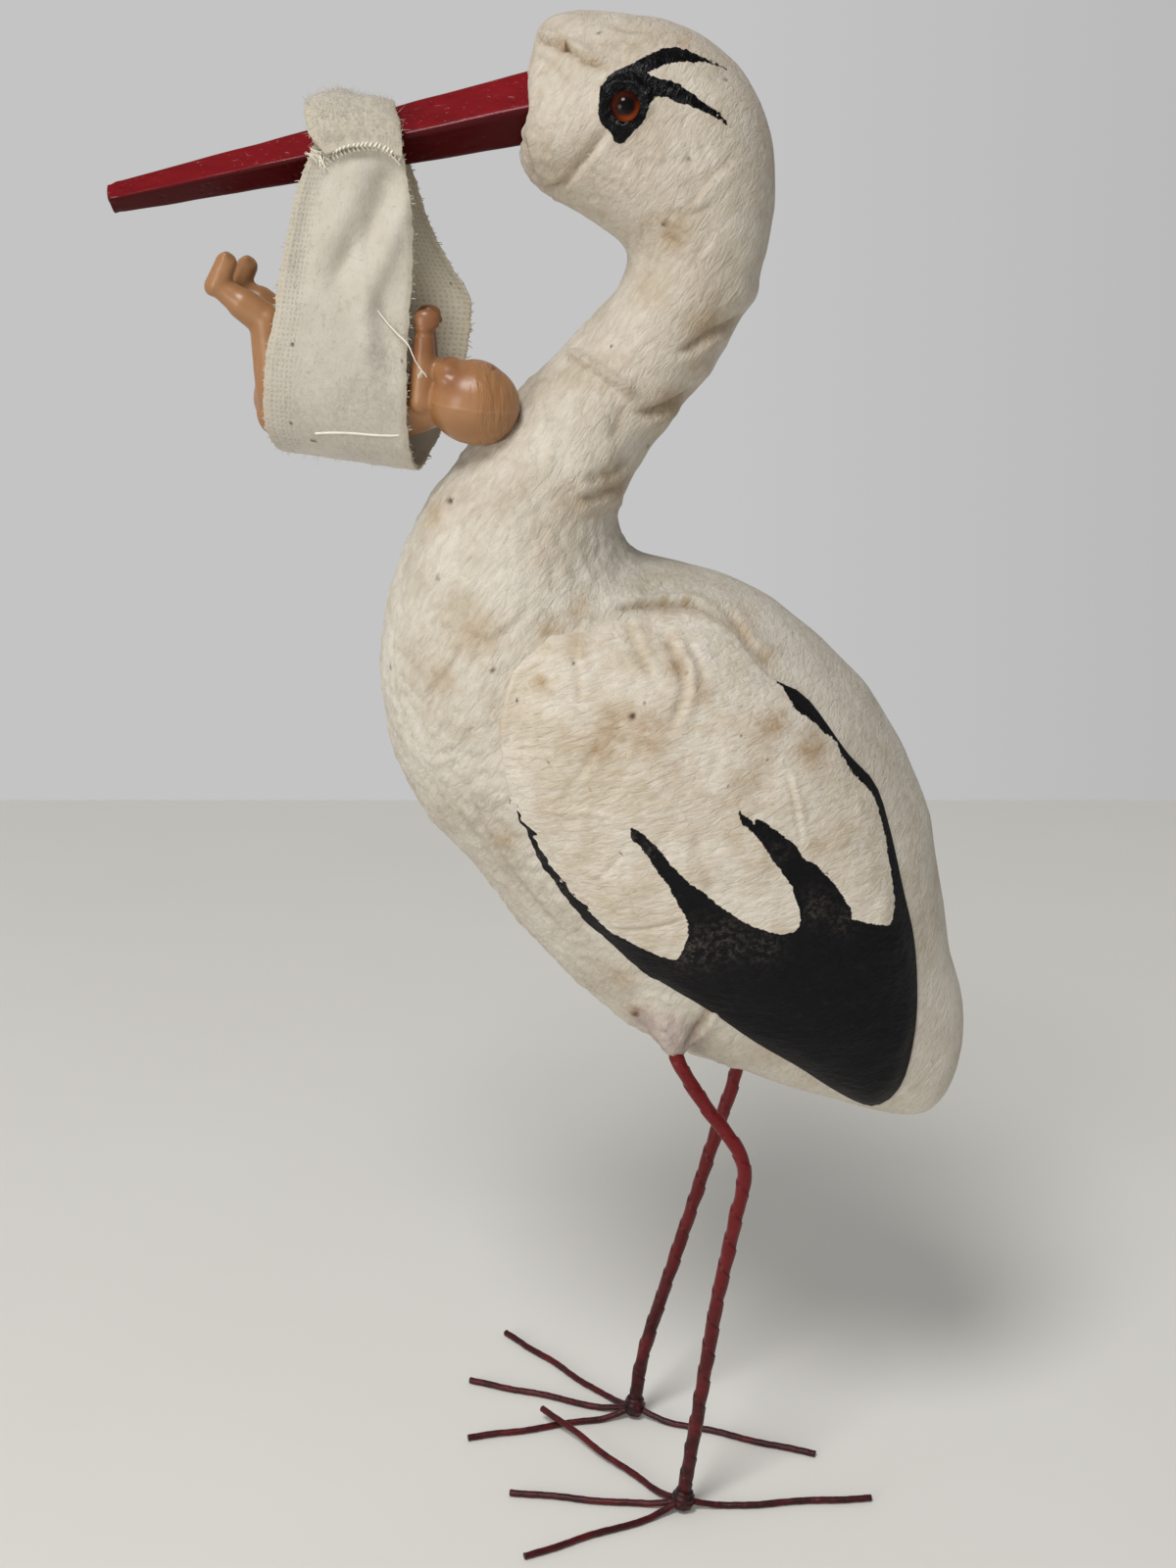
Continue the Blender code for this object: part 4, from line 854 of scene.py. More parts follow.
# Legs: wire wound with a strip of red crepe paper, bent at the knee, the top end
# stuck in the thigh's cotton. At the ankle more paper binds the toes on in a lump.
LEG_RADIUS = 1.05
LEG_SMOOTH = 0.006                          # share of the mesh's rows that rounds each end off
WRAP_PITCH = 4.6                            # mm between turns of the paper
LEG_COLUMNS, LEG_ROWS = 40, 560
LEG_LINES = {
    "left": (
        (12.25, -10.17, 83.9), (12.85, -12.47, 77.3), (16.45, -12.47, 70.5), (18.95, -12.42, 66.9),
        (20.85, -12.38, 64.2), (22.3, -12.37, 61.6), (22.95, -12.37, 58.9), (22.9, -12.36, 56.4),
        (22.3, -12.34, 53.2), (20.9, -12.26, 45.5), (19.35, -12.17, 36.7), (16.55, -11.97, 15.9),
        (14.85, -11.80, 3.6),
    ),
    "right": (
        (12.25, 10.23, 83.9), (12.85, 12.53, 77.3), (17.45, 12.63, 71.8), (20.75, 12.63, 68.5),
        (23.05, 12.73, 65.3), (22.95, 12.83, 61.9), (20.05, 12.93, 51.7), (16.05, 13.23, 37.1),
        (11.75, 13.53, 22.1), (8.85, 13.73, 11.1), (7.85, 13.88, 3.6),
    ),
}
ANKLES = {"left": (14.76, -11.80), "right": (7.73, 13.90)}
ANKLE_HEIGHT, ANKLE_RADII = 2.3, (1.7, 1.7, 2.1)


def smooth_line(line, count):
    """Evenly spaced points on a smooth open curve through the given ones."""
    line = np.array(line, float)
    first, last = 2.0 * line[:1] - line[1:2], 2.0 * line[-1:] - line[-2:-1]
    full = np.vstack((first, line, last))
    fine = []
    for i in range(len(line) - 1):
        for t in np.linspace(0.0, 1.0, 24, endpoint=False):
            fine.append(on_curve(*full[i:i + 4], t))
    return evenly(np.vstack((fine, line[-1:])), count)


def tube_place(line, radius, u, v, cap):
    """Round a line by u and along it by v, closed at both ends; radius(turn, along) is its thickness."""
    path, length = smooth_line(line, 241)
    forward = np.gradient(path, axis=0)
    forward /= np.linalg.norm(forward, axis=1)[:, None]
    sides = np.empty_like(path)
    side = np.cross(forward[0], (0.0, 1.0, 0.0) if abs(forward[0][1]) < 0.9 else (1.0, 0.0, 0.0))
    for i, way in enumerate(forward):
        side = side - way * (side @ way)
        side /= np.linalg.norm(side)
        sides[i] = side
    others = np.cross(forward, sides)
    run = np.clip((v - cap) / (1.0 - 2.0 * cap), 0.0, 1.0)
    closing = np.sqrt(np.clip(np.minimum(v, 1.0 - v) / cap, 0.0, 1.0))
    turn = u * 2.0 * math.pi
    reach = radius(turn, run * length) * closing
    middle, a, b = (read_between(run * 240.0, np.arange(241), part) for part in (path, sides, others))
    return middle + a * (reach * np.cos(turn))[:, None] + b * (reach * np.sin(turn))[:, None]


def paper_finish(name, lit, dark, low, high):
    """Dyed crepe paper: fibrous, dull, faded in patches, lighter towards the top and darker towards the
    bottom.
    """
    finish, tree, shader = new_finish(name)
    place = add_node(tree, "TexCoord").outputs["Object"]
    crepe = add_node(tree, "TexNoise", None, {
        "Vector": place, "Scale": 1000.0 / 0.6, "Detail": 4.0, "Roughness": 0.65})
    cloud = add_node(tree, "TexNoise", None, {"Vector": place, "Scale": 1000.0 / 3.5, "Detail": 3.0})
    edge = add_node(tree, "Attribute", {"attribute_name": "edge"}).outputs["Fac"]
    height = add_node(tree, "SeparateXYZ", None, {0: place})
    # Darker towards the bottom, from high down to low
    lower = add_node(tree, "MapRange", None, {
        "Value": height.outputs["Z"], "From Min": low * MM, "From Max": high * MM})
    ground = add_node(tree, "Mix", COLOURS, {0: lower.outputs[0], 6: linear(dark), 7: linear(lit)})
    faded = add_node(tree, "MapRange", None, {
        "Value": cloud.outputs["Fac"], "From Min": 0.42, "From Max": 0.70, "To Max": 0.45})
    flecks = add_node(tree, "MapRange", None, {
        "Value": crepe.outputs["Fac"], "From Min": 0.62, "From Max": 0.72, "To Max": 0.8})
    skin = ground.outputs[2]
    dyes = ((faded.outputs[0], "#74181D"), (edge, "#160406"), (flecks.outputs[0], "#1E0507"))
    for strength, tint in dyes:
        skin = add_node(tree, "Mix", COLOURS, {0: strength, 6: skin, 7: linear(tint)}).outputs[2]
    tree.links.new(skin, shader.inputs["Base Color"])
    rough = add_node(tree, "Bump", None, {
        "Height": crepe.outputs["Fac"], "Strength": 0.7, "Distance": 0.16 * MM})
    tree.links.new(rough.outputs[0], shader.inputs["Normal"])
    shader.inputs["Roughness"].default_value = 0.34
    shader.inputs["Specular IOR Level"].default_value = 0.28
    return finish


def unevenness(turn, along, slow, shift, wide=1.0):
    """Slow noise over a wire's skin, by the angle round it and the mm along it."""
    return np.array([
        noise.noise(Vector((a * slow + shift[0], math.cos(t) * wide, math.sin(t) * wide + shift[1])))
        for a, t in zip(along, turn)])


def wrap_step(turn, along, pitch):
    """Place inside one turn of a wound strip, from 0 just over its edge to 1."""
    return (along / pitch + turn / (2.0 * math.pi)) % 1.0


# Wrapped paper on the stems: deep red, faded in patches, and darker towards the feet.
leg_paper = paper_finish("leg_wrap_paper", "#64080D", "#1C0407", 4.0, 56.0)
for side in ("left", "right"):
    def leg_radius(turn, along):
        lap = wrap_step(turn, along, WRAP_PITCH)
        uneven = unevenness(turn, along, 0.35, (0.0, len(side)), 0.8)
        return LEG_RADIUS + 0.17 * (0.5 - lap) + 0.14 * uneven

    def stem_place(u, v):
        return tube_place(LEG_LINES[side], leg_radius, u, v, LEG_SMOOTH)

    stem = bent_grid(side + "_leg_wrap", LEG_COLUMNS, LEG_ROWS, stem_place)
    leg_long = smooth_line(LEG_LINES[side], 50)[1]
    turns = kept_values(stem, "across") * 2.0 * math.pi
    lap = wrap_step(turns, kept_values(stem, "along") * leg_long, WRAP_PITCH)
    keep_values(stem, "edge", 0.35 * fade(lap, 0.90, 0.985) * (lap < 0.999))
    bm = bmesh.new()
    bmesh.ops.create_icosphere(bm, subdivisions=5, radius=1.0)
    for vert in bm.verts:
        grain = noise.noise(vert.co * 2.3 + Vector((len(side), 0.0, 0.0)))
        wound = 0.05 * math.sin(vert.co.z * 14.0 + math.atan2(vert.co.y, vert.co.x))
        vert.co *= 1.0 + 0.09 * grain + wound
    lump_place = Matrix.Translation((*ANKLES[side], ANKLE_HEIGHT)) @ Matrix.Diagonal((*ANKLE_RADII, 1.0))
    bmesh.ops.transform(bm, matrix=lump_place, verts=bm.verts)
    lump = mesh_from(side + "_ankle_binding", bm)
    move_points(lump, stored_points(lump))
    keep_values(lump, "edge", np.zeros(len(lump.vertices)))
    leg = mesh_object(side + "_leg_wrap", stem)
    binding = mesh_object(side + "_ankle_binding", lump)
    for piece in (leg, binding):
        piece.data.materials.append(leg_paper)
        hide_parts(side + "_leg")
        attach(piece, "root")

# Toes: eight thin wires wound with the same paper, tied on at the ankles and bent
# out on the floor. They are a little crooked, with dark cut ends.
TOE_RADIUS = 0.55
TOE_START = 1.9                             # mm from the ankle's middle
TOE_PITCH = 2.3
TOE_SMOOTH = 0.012
TOE_COLUMNS, TOE_ROWS = 20, 220
# Heading in degrees from the beak's way, and length in mm
TOES = {
    ("left", "back"): (185.0, 29.6), ("left", "middle"): (-8.2, 27.3), ("left", "outer"): (26.5, 27.2),
    ("left", "inner"): (-48.0, 33.4),
    ("right", "back"): (158.5, 31.0), ("right", "middle"): (-20.3, 29.6),
    ("right", "inner"): (14.0, 28.1), ("right", "outer"): (-49.0, 33.8),
}

# The same dyed paper, darker and dusty from standing on shelves, and darker still towards the floor.
toe_paper = paper_finish("toe_wrap_paper", "#420E12", "#2C060A", 0.0, 3.0)
for index, ((side, toe), (heading, length)) in enumerate(TOES.items()):
    ankle_x, ankle_y = ANKLES[side]
    way = np.array((-math.cos(math.radians(heading)), -math.sin(math.radians(heading)), 0.0))
    across_way = np.array((-way[1], way[0], 0.0))
    line = []
    for step in np.linspace(0.0, 1.0, 12):
        along = TOE_START - 1.1 + step * (length - TOE_START + 1.1)
        crooked = 0.22 * math.sin(along * 0.42 + index * 2.1) * min(1.0, along / 6.0) * (1.0 - step ** 6)
        climb = 0.9 * max(0.0, 1.0 - (along - TOE_START) / 4.5) ** 1.5
        over = 0.0
        if (side, toe) == ("left", "inner"):
            over = np.interp(step, (0.0, 0.30, 0.60, 1.0), (0.0, 0.1, 0.86, 1.72))
        rest = TOE_RADIUS + 0.02 + climb + over
        line.append(np.array((ankle_x, ankle_y, rest)) + way * along + across_way * crooked)

    def toe_radius(turn, along):
        lap = wrap_step(turn, along, TOE_PITCH)
        uneven = unevenness(turn, along, 0.5, (index, 0.0))
        return TOE_RADIUS - 0.03 + 0.04 * (0.5 - lap) + 0.05 * uneven

    def toe_place(u, v):
        return tube_place(line, toe_radius, u, v, TOE_SMOOTH)

    wire = bent_grid("%s_toe_%s_wrap" % (side, toe), TOE_COLUMNS, TOE_ROWS, toe_place)
    keep_values(wire, "edge", 0.9 * fade(kept_values(wire, "along"), 0.975, 0.995))
    toe_object = mesh_object("%s_toe_%s_wrap" % (side, toe), wire)
    wire.materials.append(toe_paper)
    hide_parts("%s_toe_%s" % (side, toe))
    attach(toe_object, "root")

# Sling: one strip of cotton flannel, napped outside and plain woven inside. It
# starts under the lap at the beak, runs down, under the doll, up the far side, over
# the beak and down to the lap, where a few stitches hold it. Both long edges are cut.
CLOTH_THICK = 0.55
CLOTH_WIDE = 20.5                           # mm, as cut
CLOTH_LONG = 110.0
SLING_COLUMNS, SLING_ROWS = 84, 440
YARN_GAP = 0.66                             # mm; the real 0.4 mm would be too fine to show
SLING_LEFT = (
    (-34.6, -4.9, 206.9), (-35.3, -5.2, 205.6), (-36.5, -5.7, 202.9), (-38.3, -6.2, 198.6),
    (-39.5, -7.0, 193.4), (-40.7, -8.0, 188.0), (-41.5, -9.0, 182.7), (-42.7, -9.9, 177.3),
    (-43.2, -9.9, 172.1), (-43.2, -8.4, 167.6), (-42.3, -5.4, 164.9), (-41.9, -2.4, 164.0),
    (-42.0, 0.9, 164.8), (-42.4, 3.3, 168.0), (-42.4, 4.1, 173.5), (-41.7, 4.6, 180.0),
    (-40.8, 4.9, 186.5), (-39.5, 5.2, 192.5), (-38.0, 5.5, 198.6), (-36.6, 5.3, 203.4),
    (-36.5, 4.2, 208.2), (-36.9, 0.0, 210.4), (-36.8, -4.2, 208.8), (-36.2, -6.2, 206.0),
    (-34.3, -6.9, 203.2),
)
SLING_RIGHT = (
    (-25.4, -4.9, 207.0), (-24.6, -5.2, 206.2), (-24.1, -5.7, 202.9), (-23.5, -6.2, 198.6),
    (-23.1, -7.0, 193.0), (-23.3, -8.0, 186.7), (-23.8, -9.0, 181.1), (-24.1, -9.9, 175.4),
    (-24.2, -9.9, 169.5), (-23.9, -8.3, 164.3), (-23.6, -5.4, 162.2), (-23.2, -2.4, 161.3),
    (-22.2, 0.9, 162.5), (-20.3, 3.2, 165.9), (-18.1, 4.0, 170.8), (-16.5, 4.6, 178.2),
    (-16.3, 5.0, 183.4), (-19.4, 5.3, 188.6), (-22.2, 5.5, 194.6), (-23.9, 5.4, 201.0),
    (-25.4, 4.2, 206.9), (-26.1, 0.0, 210.2), (-24.9, -4.2, 207.9), (-24.3, -6.2, 205.6),
    (-24.3, -6.9, 202.9),
)
SLING_FOLDS = (
    (1.25, 1.9, 0.0, 0, (
        (-24.9, 203.6), (-25.9, 200.9), (-26.7, 198.1), (-28.2, 194.6), (-30.3, 191.6), (-32.5, 188.9),
        (-34.3, 185.0))),
    (-0.95, 1.5, 0.0, 0, ((-23.4, 198.6), (-25.0, 194.4), (-26.9, 190.0), (-28.7, 186.2), (-29.6, 181.5))),
    (-0.75, 1.9, 0.0, 0, ((-29.2, 203.6), (-30.5, 198.5), (-32.6, 194.2), (-34.4, 190.6))),
    (0.75, 2.0, 0.0, 0, ((-34.4, 202.8), (-36.2, 197.8), (-37.3, 192.0), (-38.2, 185.0))),
    (-0.55, 1.2, 0.0, 0, ((-30.2, 194.8), (-30.0, 188.0), (-29.4, 181.5), (-29.0, 176.0))),
    (0.40, 1.4, 0.0, 0, ((-27.0, 186.0), (-26.8, 180.0), (-26.2, 173.0))),
)
SLING_SMUDGES = (
    (-27.2, 177.4, 3.0, 0.55), (-25.2, 180.6, 2.2, 0.45), (-28.8, 173.8, 3.4, 0.40),
    (-26.6, 171.0, 2.4, 0.35), (-38.8, 170.4, 2.0, 0.40), (-36.6, 168.6, 2.6, 0.30),
    (-32.6, 170.4, 4.0, 0.28), (-30.6, 164.8, 4.4, 0.30), (-26.2, 200.4, 2.2, 0.25),
    (-40.6, 165.6, 2.0, 0.45), (-22.5, 189.4, 3.0, 0.35), (-19.6, 184.8, 2.4, 0.30),
)
SLING_SPECKS = (
    (-39.15, 179.1, 0.20), (-36.8, 166.2, 0.16), (-37.2, 166.3, 0.16), (-39.8, 168.7, 0.20),
    (-18.9, 185.4, 0.14), (-24.7, 176.9, 0.14),
)
# How far the cap over the beak rises or droops in mm, by the share across the strip
CAP_RISE = (
    (0.0, -3.0), (0.05, -1.3), (0.12, 0.1), (0.25, 1.3), (0.42, 1.5), (0.70, 0.2), (0.88, -1.3),
    (1.0, -2.9),
)


def strip_place(u, v):
    """Across the strip by u and along it by v."""
    left, _ = smooth_line(SLING_LEFT, 601)
    right, _ = smooth_line(SLING_RIGHT, 601)
    a, b = (read_between(v * 600.0, np.arange(601), part) for part in (left, right))
    spots = a + (b - a) * u[:, None]
    over = np.exp(-((v - 0.868) / 0.034) ** 2)
    # The cap over the beak is a puffed roll that is highest left of its middle and droops at its ends
    spots[:, 2] += over * np.interp(u, *zip(*CAP_RISE))
    spots[:, 2] += 1.2 * np.sin(math.pi * u) * fade(v, 0.93, 1.0)
    near_top = fade(-v, -0.995, -0.93) * fade(v, 0.88, 0.92)
    spots[:, 1] -= near_top * (1.6 * np.sin(math.pi * u) ** 0.6 + 0.30 * np.sin(u * 2.6 * math.pi + 0.6))
    return spots


sling_mesh = bent_grid("sling_flannel", SLING_COLUMNS, SLING_ROWS, strip_place)
spots = points_of(sling_mesh)
u, v = kept_values(sling_mesh, "across"), kept_values(sling_mesh, "along")
normals = normals_of(sling_mesh)
if np.mean(normals[(v > 0.2) & (v < 0.3), 1]) > 0.0:
    sling_mesh.flip_normals()
    normals = normals_of(sling_mesh)
x, y, z = spots.T
near = fade(-v, -0.42, -0.34) * fade(v, 0.02, 0.06)
push, _ = press_folds(SLING_FOLDS, x, z, y, np.ones(len(x)))
push = push * near
far = fade(v, 0.52, 0.60) * fade(-v, -0.82, -0.76)
rippled = np.sin((x + 0.55 * (z - 180.0) + 30.0) * 2.0 * math.pi / 11.0) * fade(z, 176.0, 190.0)
push += far * (0.9 * rippled + 0.5 * lumps(spots, 6.0, 31))
flat_spots = np.stack((u * CLOTH_WIDE, v * CLOTH_LONG, 0.0 * u), 1)
push += 0.16 * lumps(flat_spots, 5.0, 32) + 0.07 * lumps(flat_spots, 1.8, 33)
edge_gap = np.minimum(u, 1.0 - u) * CLOTH_WIDE
edge_spots = flat_spots * (0.0, 1.0, 0.0)
wavy = 0.22 * lumps(edge_spots, 1.5, 34) + 0.10 * lumps(edge_spots, 0.5, 35)
spots[:, 0] += wavy * fade(-edge_gap, -1.2, 0.0)
push -= 0.25 * fade(-edge_gap, -0.9, 0.0) * near
move_points(sling_mesh, spots + normals * push[:, None])
keep_values(sling_mesh, "cloth_u", u * CLOTH_WIDE)
keep_values(sling_mesh, "cloth_v", v * CLOTH_LONG)
weave_seen = np.maximum(fade(-u, -0.26, -0.16), fade(v, 0.50, 0.56)) * fade(-v, -0.82, -0.78)
keep_values(sling_mesh, "weave", 0.10 + 0.90 * weave_seen)
# The inner face is painted lighter, as painted light where it lies in shade
keep_values(sling_mesh, "inner", fade(v, 0.46, 0.54) * fade(-v, -0.84, -0.78))
# Smudges at their given spots, and the cloth darker towards the bottom of the loop
smudges_and_darker_bottom = np.clip(1.15 * spots_of(SLING_SMUDGES, x, z) + 0.22 * fade(-z, -186.0, -165.0), 0.0, 1.0)
keep_values(sling_mesh, "stain_and_shade", smudges_and_darker_bottom * np.where(y < 0.0, 1.0, 0.5))
keep_values(sling_mesh, "speck", specks_of(SLING_SPECKS, x, z))
yellowed = fade(-edge_gap, -1.6, 0.0) * 0.6 + 0.38 * fade(v, 0.84, 0.88)
keep_values(sling_mesh, "yellow", np.clip(yellowed, 0.0, 1.0))


def flannel_finish():
    """Unbleached flannel: a plain weave under a soft nap, drawn as coarse as it shows."""
    finish, tree, shader = new_finish("flannel")
    across = add_node(tree, "Attribute", {"attribute_name": "cloth_u"}).outputs["Fac"]
    along = add_node(tree, "Attribute", {"attribute_name": "cloth_v"}).outputs["Fac"]
    cloth = add_node(tree, "CombineXYZ", None, {0: across, 1: along})
    values = {}
    for key in ("weave", "stain_and_shade", "speck", "yellow", "inner"):
        values[key] = add_node(tree, "Attribute", {"attribute_name": key}).outputs["Fac"]
    wander = add_node(tree, "TexNoise", None, {"Vector": cloth.outputs[0], "Scale": 0.9, "Detail": 2.0})
    threads = []
    for axis in (across, along):
        shifted = add_node(tree, "Math", TIMES_PLUS, {0: wander.outputs["Fac"], 1: 0.5, 2: axis})
        turned = add_node(tree, "Math", TIMES, {0: shifted.outputs[0], 1: 2.0 * math.pi / YARN_GAP})
        wave = add_node(tree, "Math", {"operation": "SINE"}, {0: turned.outputs[0]})
        threads.append(add_node(tree, "Math", TIMES_PLUS, {0: wave.outputs[0], 1: 0.5, 2: 0.5}))
    # A small hole at every crossing of the yarns, where both waves are high
    low = add_node(tree, "Math", TIMES, {0: threads[0].outputs[0], 1: threads[1].outputs[0]})
    raised = add_node(tree, "Math", {"operation": "SUBTRACT"}, {0: 1.0, 1: low.outputs[0]})
    nap = add_node(tree, "TexNoise", None, {
        "Vector": cloth.outputs[0], "Scale": 1.6, "Detail": 6.0, "Roughness": 0.7, "Distortion": 0.6})
    cloud = add_node(tree, "TexNoise", None, {
        "Vector": cloth.outputs[0], "Scale": 0.22, "Detail": 4.0, "Roughness": 0.6})
    gaps = add_node(tree, "Math", TIMES, {0: low.outputs[0], 1: values["weave"]})
    gap_dark = add_node(tree, "MapRange", None, {
        "Value": gaps.outputs[0], "From Min": 0.30, "From Max": 1.0, "To Max": 0.36})
    ground = add_node(tree, "Mix", COLOURS, {
        0: cloud.outputs["Fac"], 6: linear("#CCC6BA"), 7: linear("#B2A999")})
    pale = add_node(tree, "Math", TIMES, {0: values["inner"], 1: 0.75})
    aged = add_node(tree, "Math", TIMES, {0: values["yellow"], 1: 0.45})
    dust = add_node(tree, "MapRange", None, {
        "Value": nap.outputs["Fac"], "From Min": 0.34, "From Max": 0.70, "To Max": 0.80})
    smudge_and_darker_bottom = add_node(tree, "Math", TIMES, {0: values["stain_and_shade"], 1: dust.outputs[0]})
    # The inner face painted lighter as painted light, the weave's gaps, yellowed edges, smudges and specks,
    # each over the one before
    skin = ground.outputs[2]
    for strength, tint in (
        (pale.outputs[0], "#E6DDC6"), (gap_dark.outputs[0], "#8C7E66"), (aged.outputs[0], "#B0A17C"),
        (smudge_and_darker_bottom.outputs[0], "#7C7265"), (values["speck"], "#3E342A"),
    ):
        skin = add_node(tree, "Mix", COLOURS, {0: strength, 6: skin, 7: linear(tint)}).outputs[2]
    tree.links.new(skin, shader.inputs["Base Color"])
    knit = add_node(tree, "Math", TIMES, {0: raised.outputs[0], 1: values["weave"]})
    first = add_node(tree, "Bump", None, {
        "Height": knit.outputs[0], "Strength": 0.6, "Distance": 0.08 * MM})
    second = add_node(tree, "Bump", None, {
        "Height": nap.outputs["Fac"], "Strength": 0.7, "Distance": 0.20 * MM, "Normal": first.outputs[0]})
    tree.links.new(second.outputs[0], shader.inputs["Normal"])
    shader.inputs["Roughness"].default_value = 0.95
    shader.inputs["Specular IOR Level"].default_value = 0.15
    shader.inputs["Sheen Weight"].default_value = 0.35
    shader.inputs["Sheen Roughness"].default_value = 0.6
    return finish


# Cotton flannel: soft, matt, cream, with grey smudges from handling.
flannel = flannel_finish()
sling_mesh.materials.append(flannel)
sling = mesh_object("sling_flannel", sling_mesh)
cloth_body = sling.modifiers.new("Cloth", "SOLIDIFY")
cloth_body.thickness = CLOTH_THICK * MM
cloth_body.offset = 0.0
cloth_body.use_even_offset = False
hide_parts("sling")
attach(sling, "root")

# Threads of the sling: cut weft ends along both edges, fuzz of the nap, two rows of
# stitches at the lap, one long basting stitch near the bottom, and a loose end.


def threads(name, lines, radius, finish, thin=0.35):
    """Many short round threads in one mesh; each line is a list of places in mm."""
    curve = bpy.data.curves.new(name, "CURVE")
    curve.dimensions = "3D"
    curve.bevel_depth = radius * MM
    curve.bevel_resolution = 0
    curve.use_fill_caps = True
    for line in lines:
        spline = curve.splines.new("POLY")
        spline.points.add(len(line) - 1)
        for i, (point, place) in enumerate(zip(spline.points, line)):
            point.co = (*((np.array(place) + MIDDLE) * MM), 1.0)
            point.radius = 1.0 - (1.0 - thin) * (i / (len(line) - 1)) ** 3
    source = mesh_object(name, curve)
    graph = bpy.context.evaluated_depsgraph_get()
    mesh = bpy.data.meshes.new_from_object(source.evaluated_get(graph))
    bpy.data.objects.remove(source)
    bpy.data.curves.remove(curve)
    mesh.materials.clear()
    mesh.materials.append(finish)
    for polygon in mesh.polygons:
        polygon.use_smooth = True
    ob = mesh_object(name, mesh)
    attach(ob, "root")
    return ob


cloth_points = points_of(sling_mesh)
cloth_normals = normals_of(sling_mesh)
cloth_faces = [p.vertices for p in sling_mesh.polygons]
cloth_tree = BVHTree.FromPolygons([Vector(p) for p in cloth_points], cloth_faces)
chance = np.random.default_rng(11)


def on_cloth(x, z, lift):
    """Place on the near face of the cloth at a given x and z."""
    hit, _, _, _ = cloth_tree.ray_cast(Vector((x, -40.0, z)), Vector((0.0, 1.0, 0.0)))
    if hit is None:
        hit = Vector((x, -6.0, z))
    return np.array((hit.x, hit.y - CLOTH_THICK / 2.0 - lift, hit.z))


def thread_finish():
    finish, tree, shader = new_finish("sewing_thread")
    place = add_node(tree, "TexCoord").outputs["Object"]
    grain = add_node(tree, "TexNoise", None, {"Vector": place, "Scale": 1000.0 / 0.8, "Detail": 3.0})
    colour = add_node(tree, "Mix", COLOURS, {
        0: grain.outputs["Fac"], 6: linear("#F4F0E4"), 7: linear("#DDD3BE")})
    tree.links.new(colour.outputs[2], shader.inputs["Base Color"])
    shader.inputs["Roughness"].default_value = 0.75
    shader.inputs["Sheen Weight"].default_value = 0.3
    return finish


# White cotton sewing thread, slightly shiny against the flannel.
white_thread = thread_finish()
order = np.arange(len(cloth_points))
rim = order[(u < 0.002) | (u > 0.998)]
fringe = []
for i in chance.choice(rim, 620, replace=False):
    outward = -1.0 if u[i] < 0.5 else 1.0
    reach = chance.uniform(0.0, 0.30)
    start = cloth_points[i] - (outward * 0.25, 0.0, 0.0)
    bend = chance.normal(0.0, 0.16, 3)
    halfway = start + (outward * (0.25 + reach * 0.5), 0.0, 0.0) + bend * 0.5
    fringe.append([start, halfway, start + (outward * (0.25 + reach), 0.0, 0.0) + bend * 1.3])
fuzz = []
for i in chance.choice(order[(v > 0.06) & (v < 0.96)], 2600, replace=False):
    side_of = 1.0 if (chance.uniform() < 0.8) else -1.0
    root = cloth_points[i] + cloth_normals[i] * side_of * CLOTH_THICK * 0.4
    lie = chance.normal(0.0, 0.45, 3)
    tip = cloth_normals[i] * side_of * chance.uniform(0.10, 0.38)
    fuzz.append([root, root + tip * 0.7 + lie * 0.35, root + tip + lie * 0.9])
# The napped cap is fluffier than the rest
for i in chance.choice(order[(v > 0.80) & (v < 0.99)], 2600, replace=False):
    root = cloth_points[i] + cloth_normals[i] * CLOTH_THICK * 0.4
    tip = cloth_normals[i] * chance.uniform(0.10, 0.42)
    lie = chance.normal(0.0, 0.42, 3)
    fuzz.append([root, root + tip * 0.6 + lie * 0.3, root + tip + lie])
pieces_on_cloth = [
    threads("sling_fringe", fringe, 0.075, flannel),
    threads("sling_fuzz", fuzz, 0.020, flannel),
]
basting = []
for x in np.linspace(-36.9, -25.0, 26):
    basting.append(on_cloth(x, 167.15 + 0.18 * math.sin((x + 37.0) * 0.45), 0.10))
# Both of its ends dip into the cloth
basting[0] = basting[0] + (0.0, 0.45, 0.0)
basting[-1] = basting[-1] + (0.0, 0.45, 0.0)
stitches = [basting]
LAP = ((-34.3, 202.6), (-32.8, 203.6), (-30.6, 204.3), (-28.2, 204.5), (-26.2, 203.9), (-24.7, 202.6))
lap_line, _ = smooth_line([(x, 0.0, z) for x, z in LAP], 19)
for x, _, z in lap_line:
    for row, lean in ((0.12, 1.0), (-0.42, -1.0)):
        jitter = chance.uniform(-0.08, 0.08)
        stitches.append([
            on_cloth(x + lean * 0.16 * k + jitter, z + row + 0.24 * k, 0.16 - 0.20 * k * k)
            for k in (-1.0, 0.0, 1.0)])
pieces_on_cloth.append(threads("sling_stitches", stitches, 0.17, white_thread, thin=0.8))
# The loose end leaves the cloth and hangs over the doll's arm, frayed at its tip
loose = [on_cloth(-27.8, 183.5, 0.05), on_cloth(-26.6, 181.9, 0.35), on_cloth(-25.2, 180.5, 0.6)]
loose += [(-23.8, -10.9, 179.3), (-23.1, -11.2, 177.8), (-22.7, -11.1, 176.9), (-21.9, -10.9, 175.7)]
loose = list(smooth_line(loose, 24)[0])
ends = [loose]
for k in range(7):
    start = loose[-3]
    frayed = (0.4 + chance.uniform(-0.5, 0.9), chance.uniform(-0.4, 0.4), -0.7 - chance.uniform(0.2, 0.9))
    ends.append([start, start + (0.4, 0.0, -0.6), start + frayed])
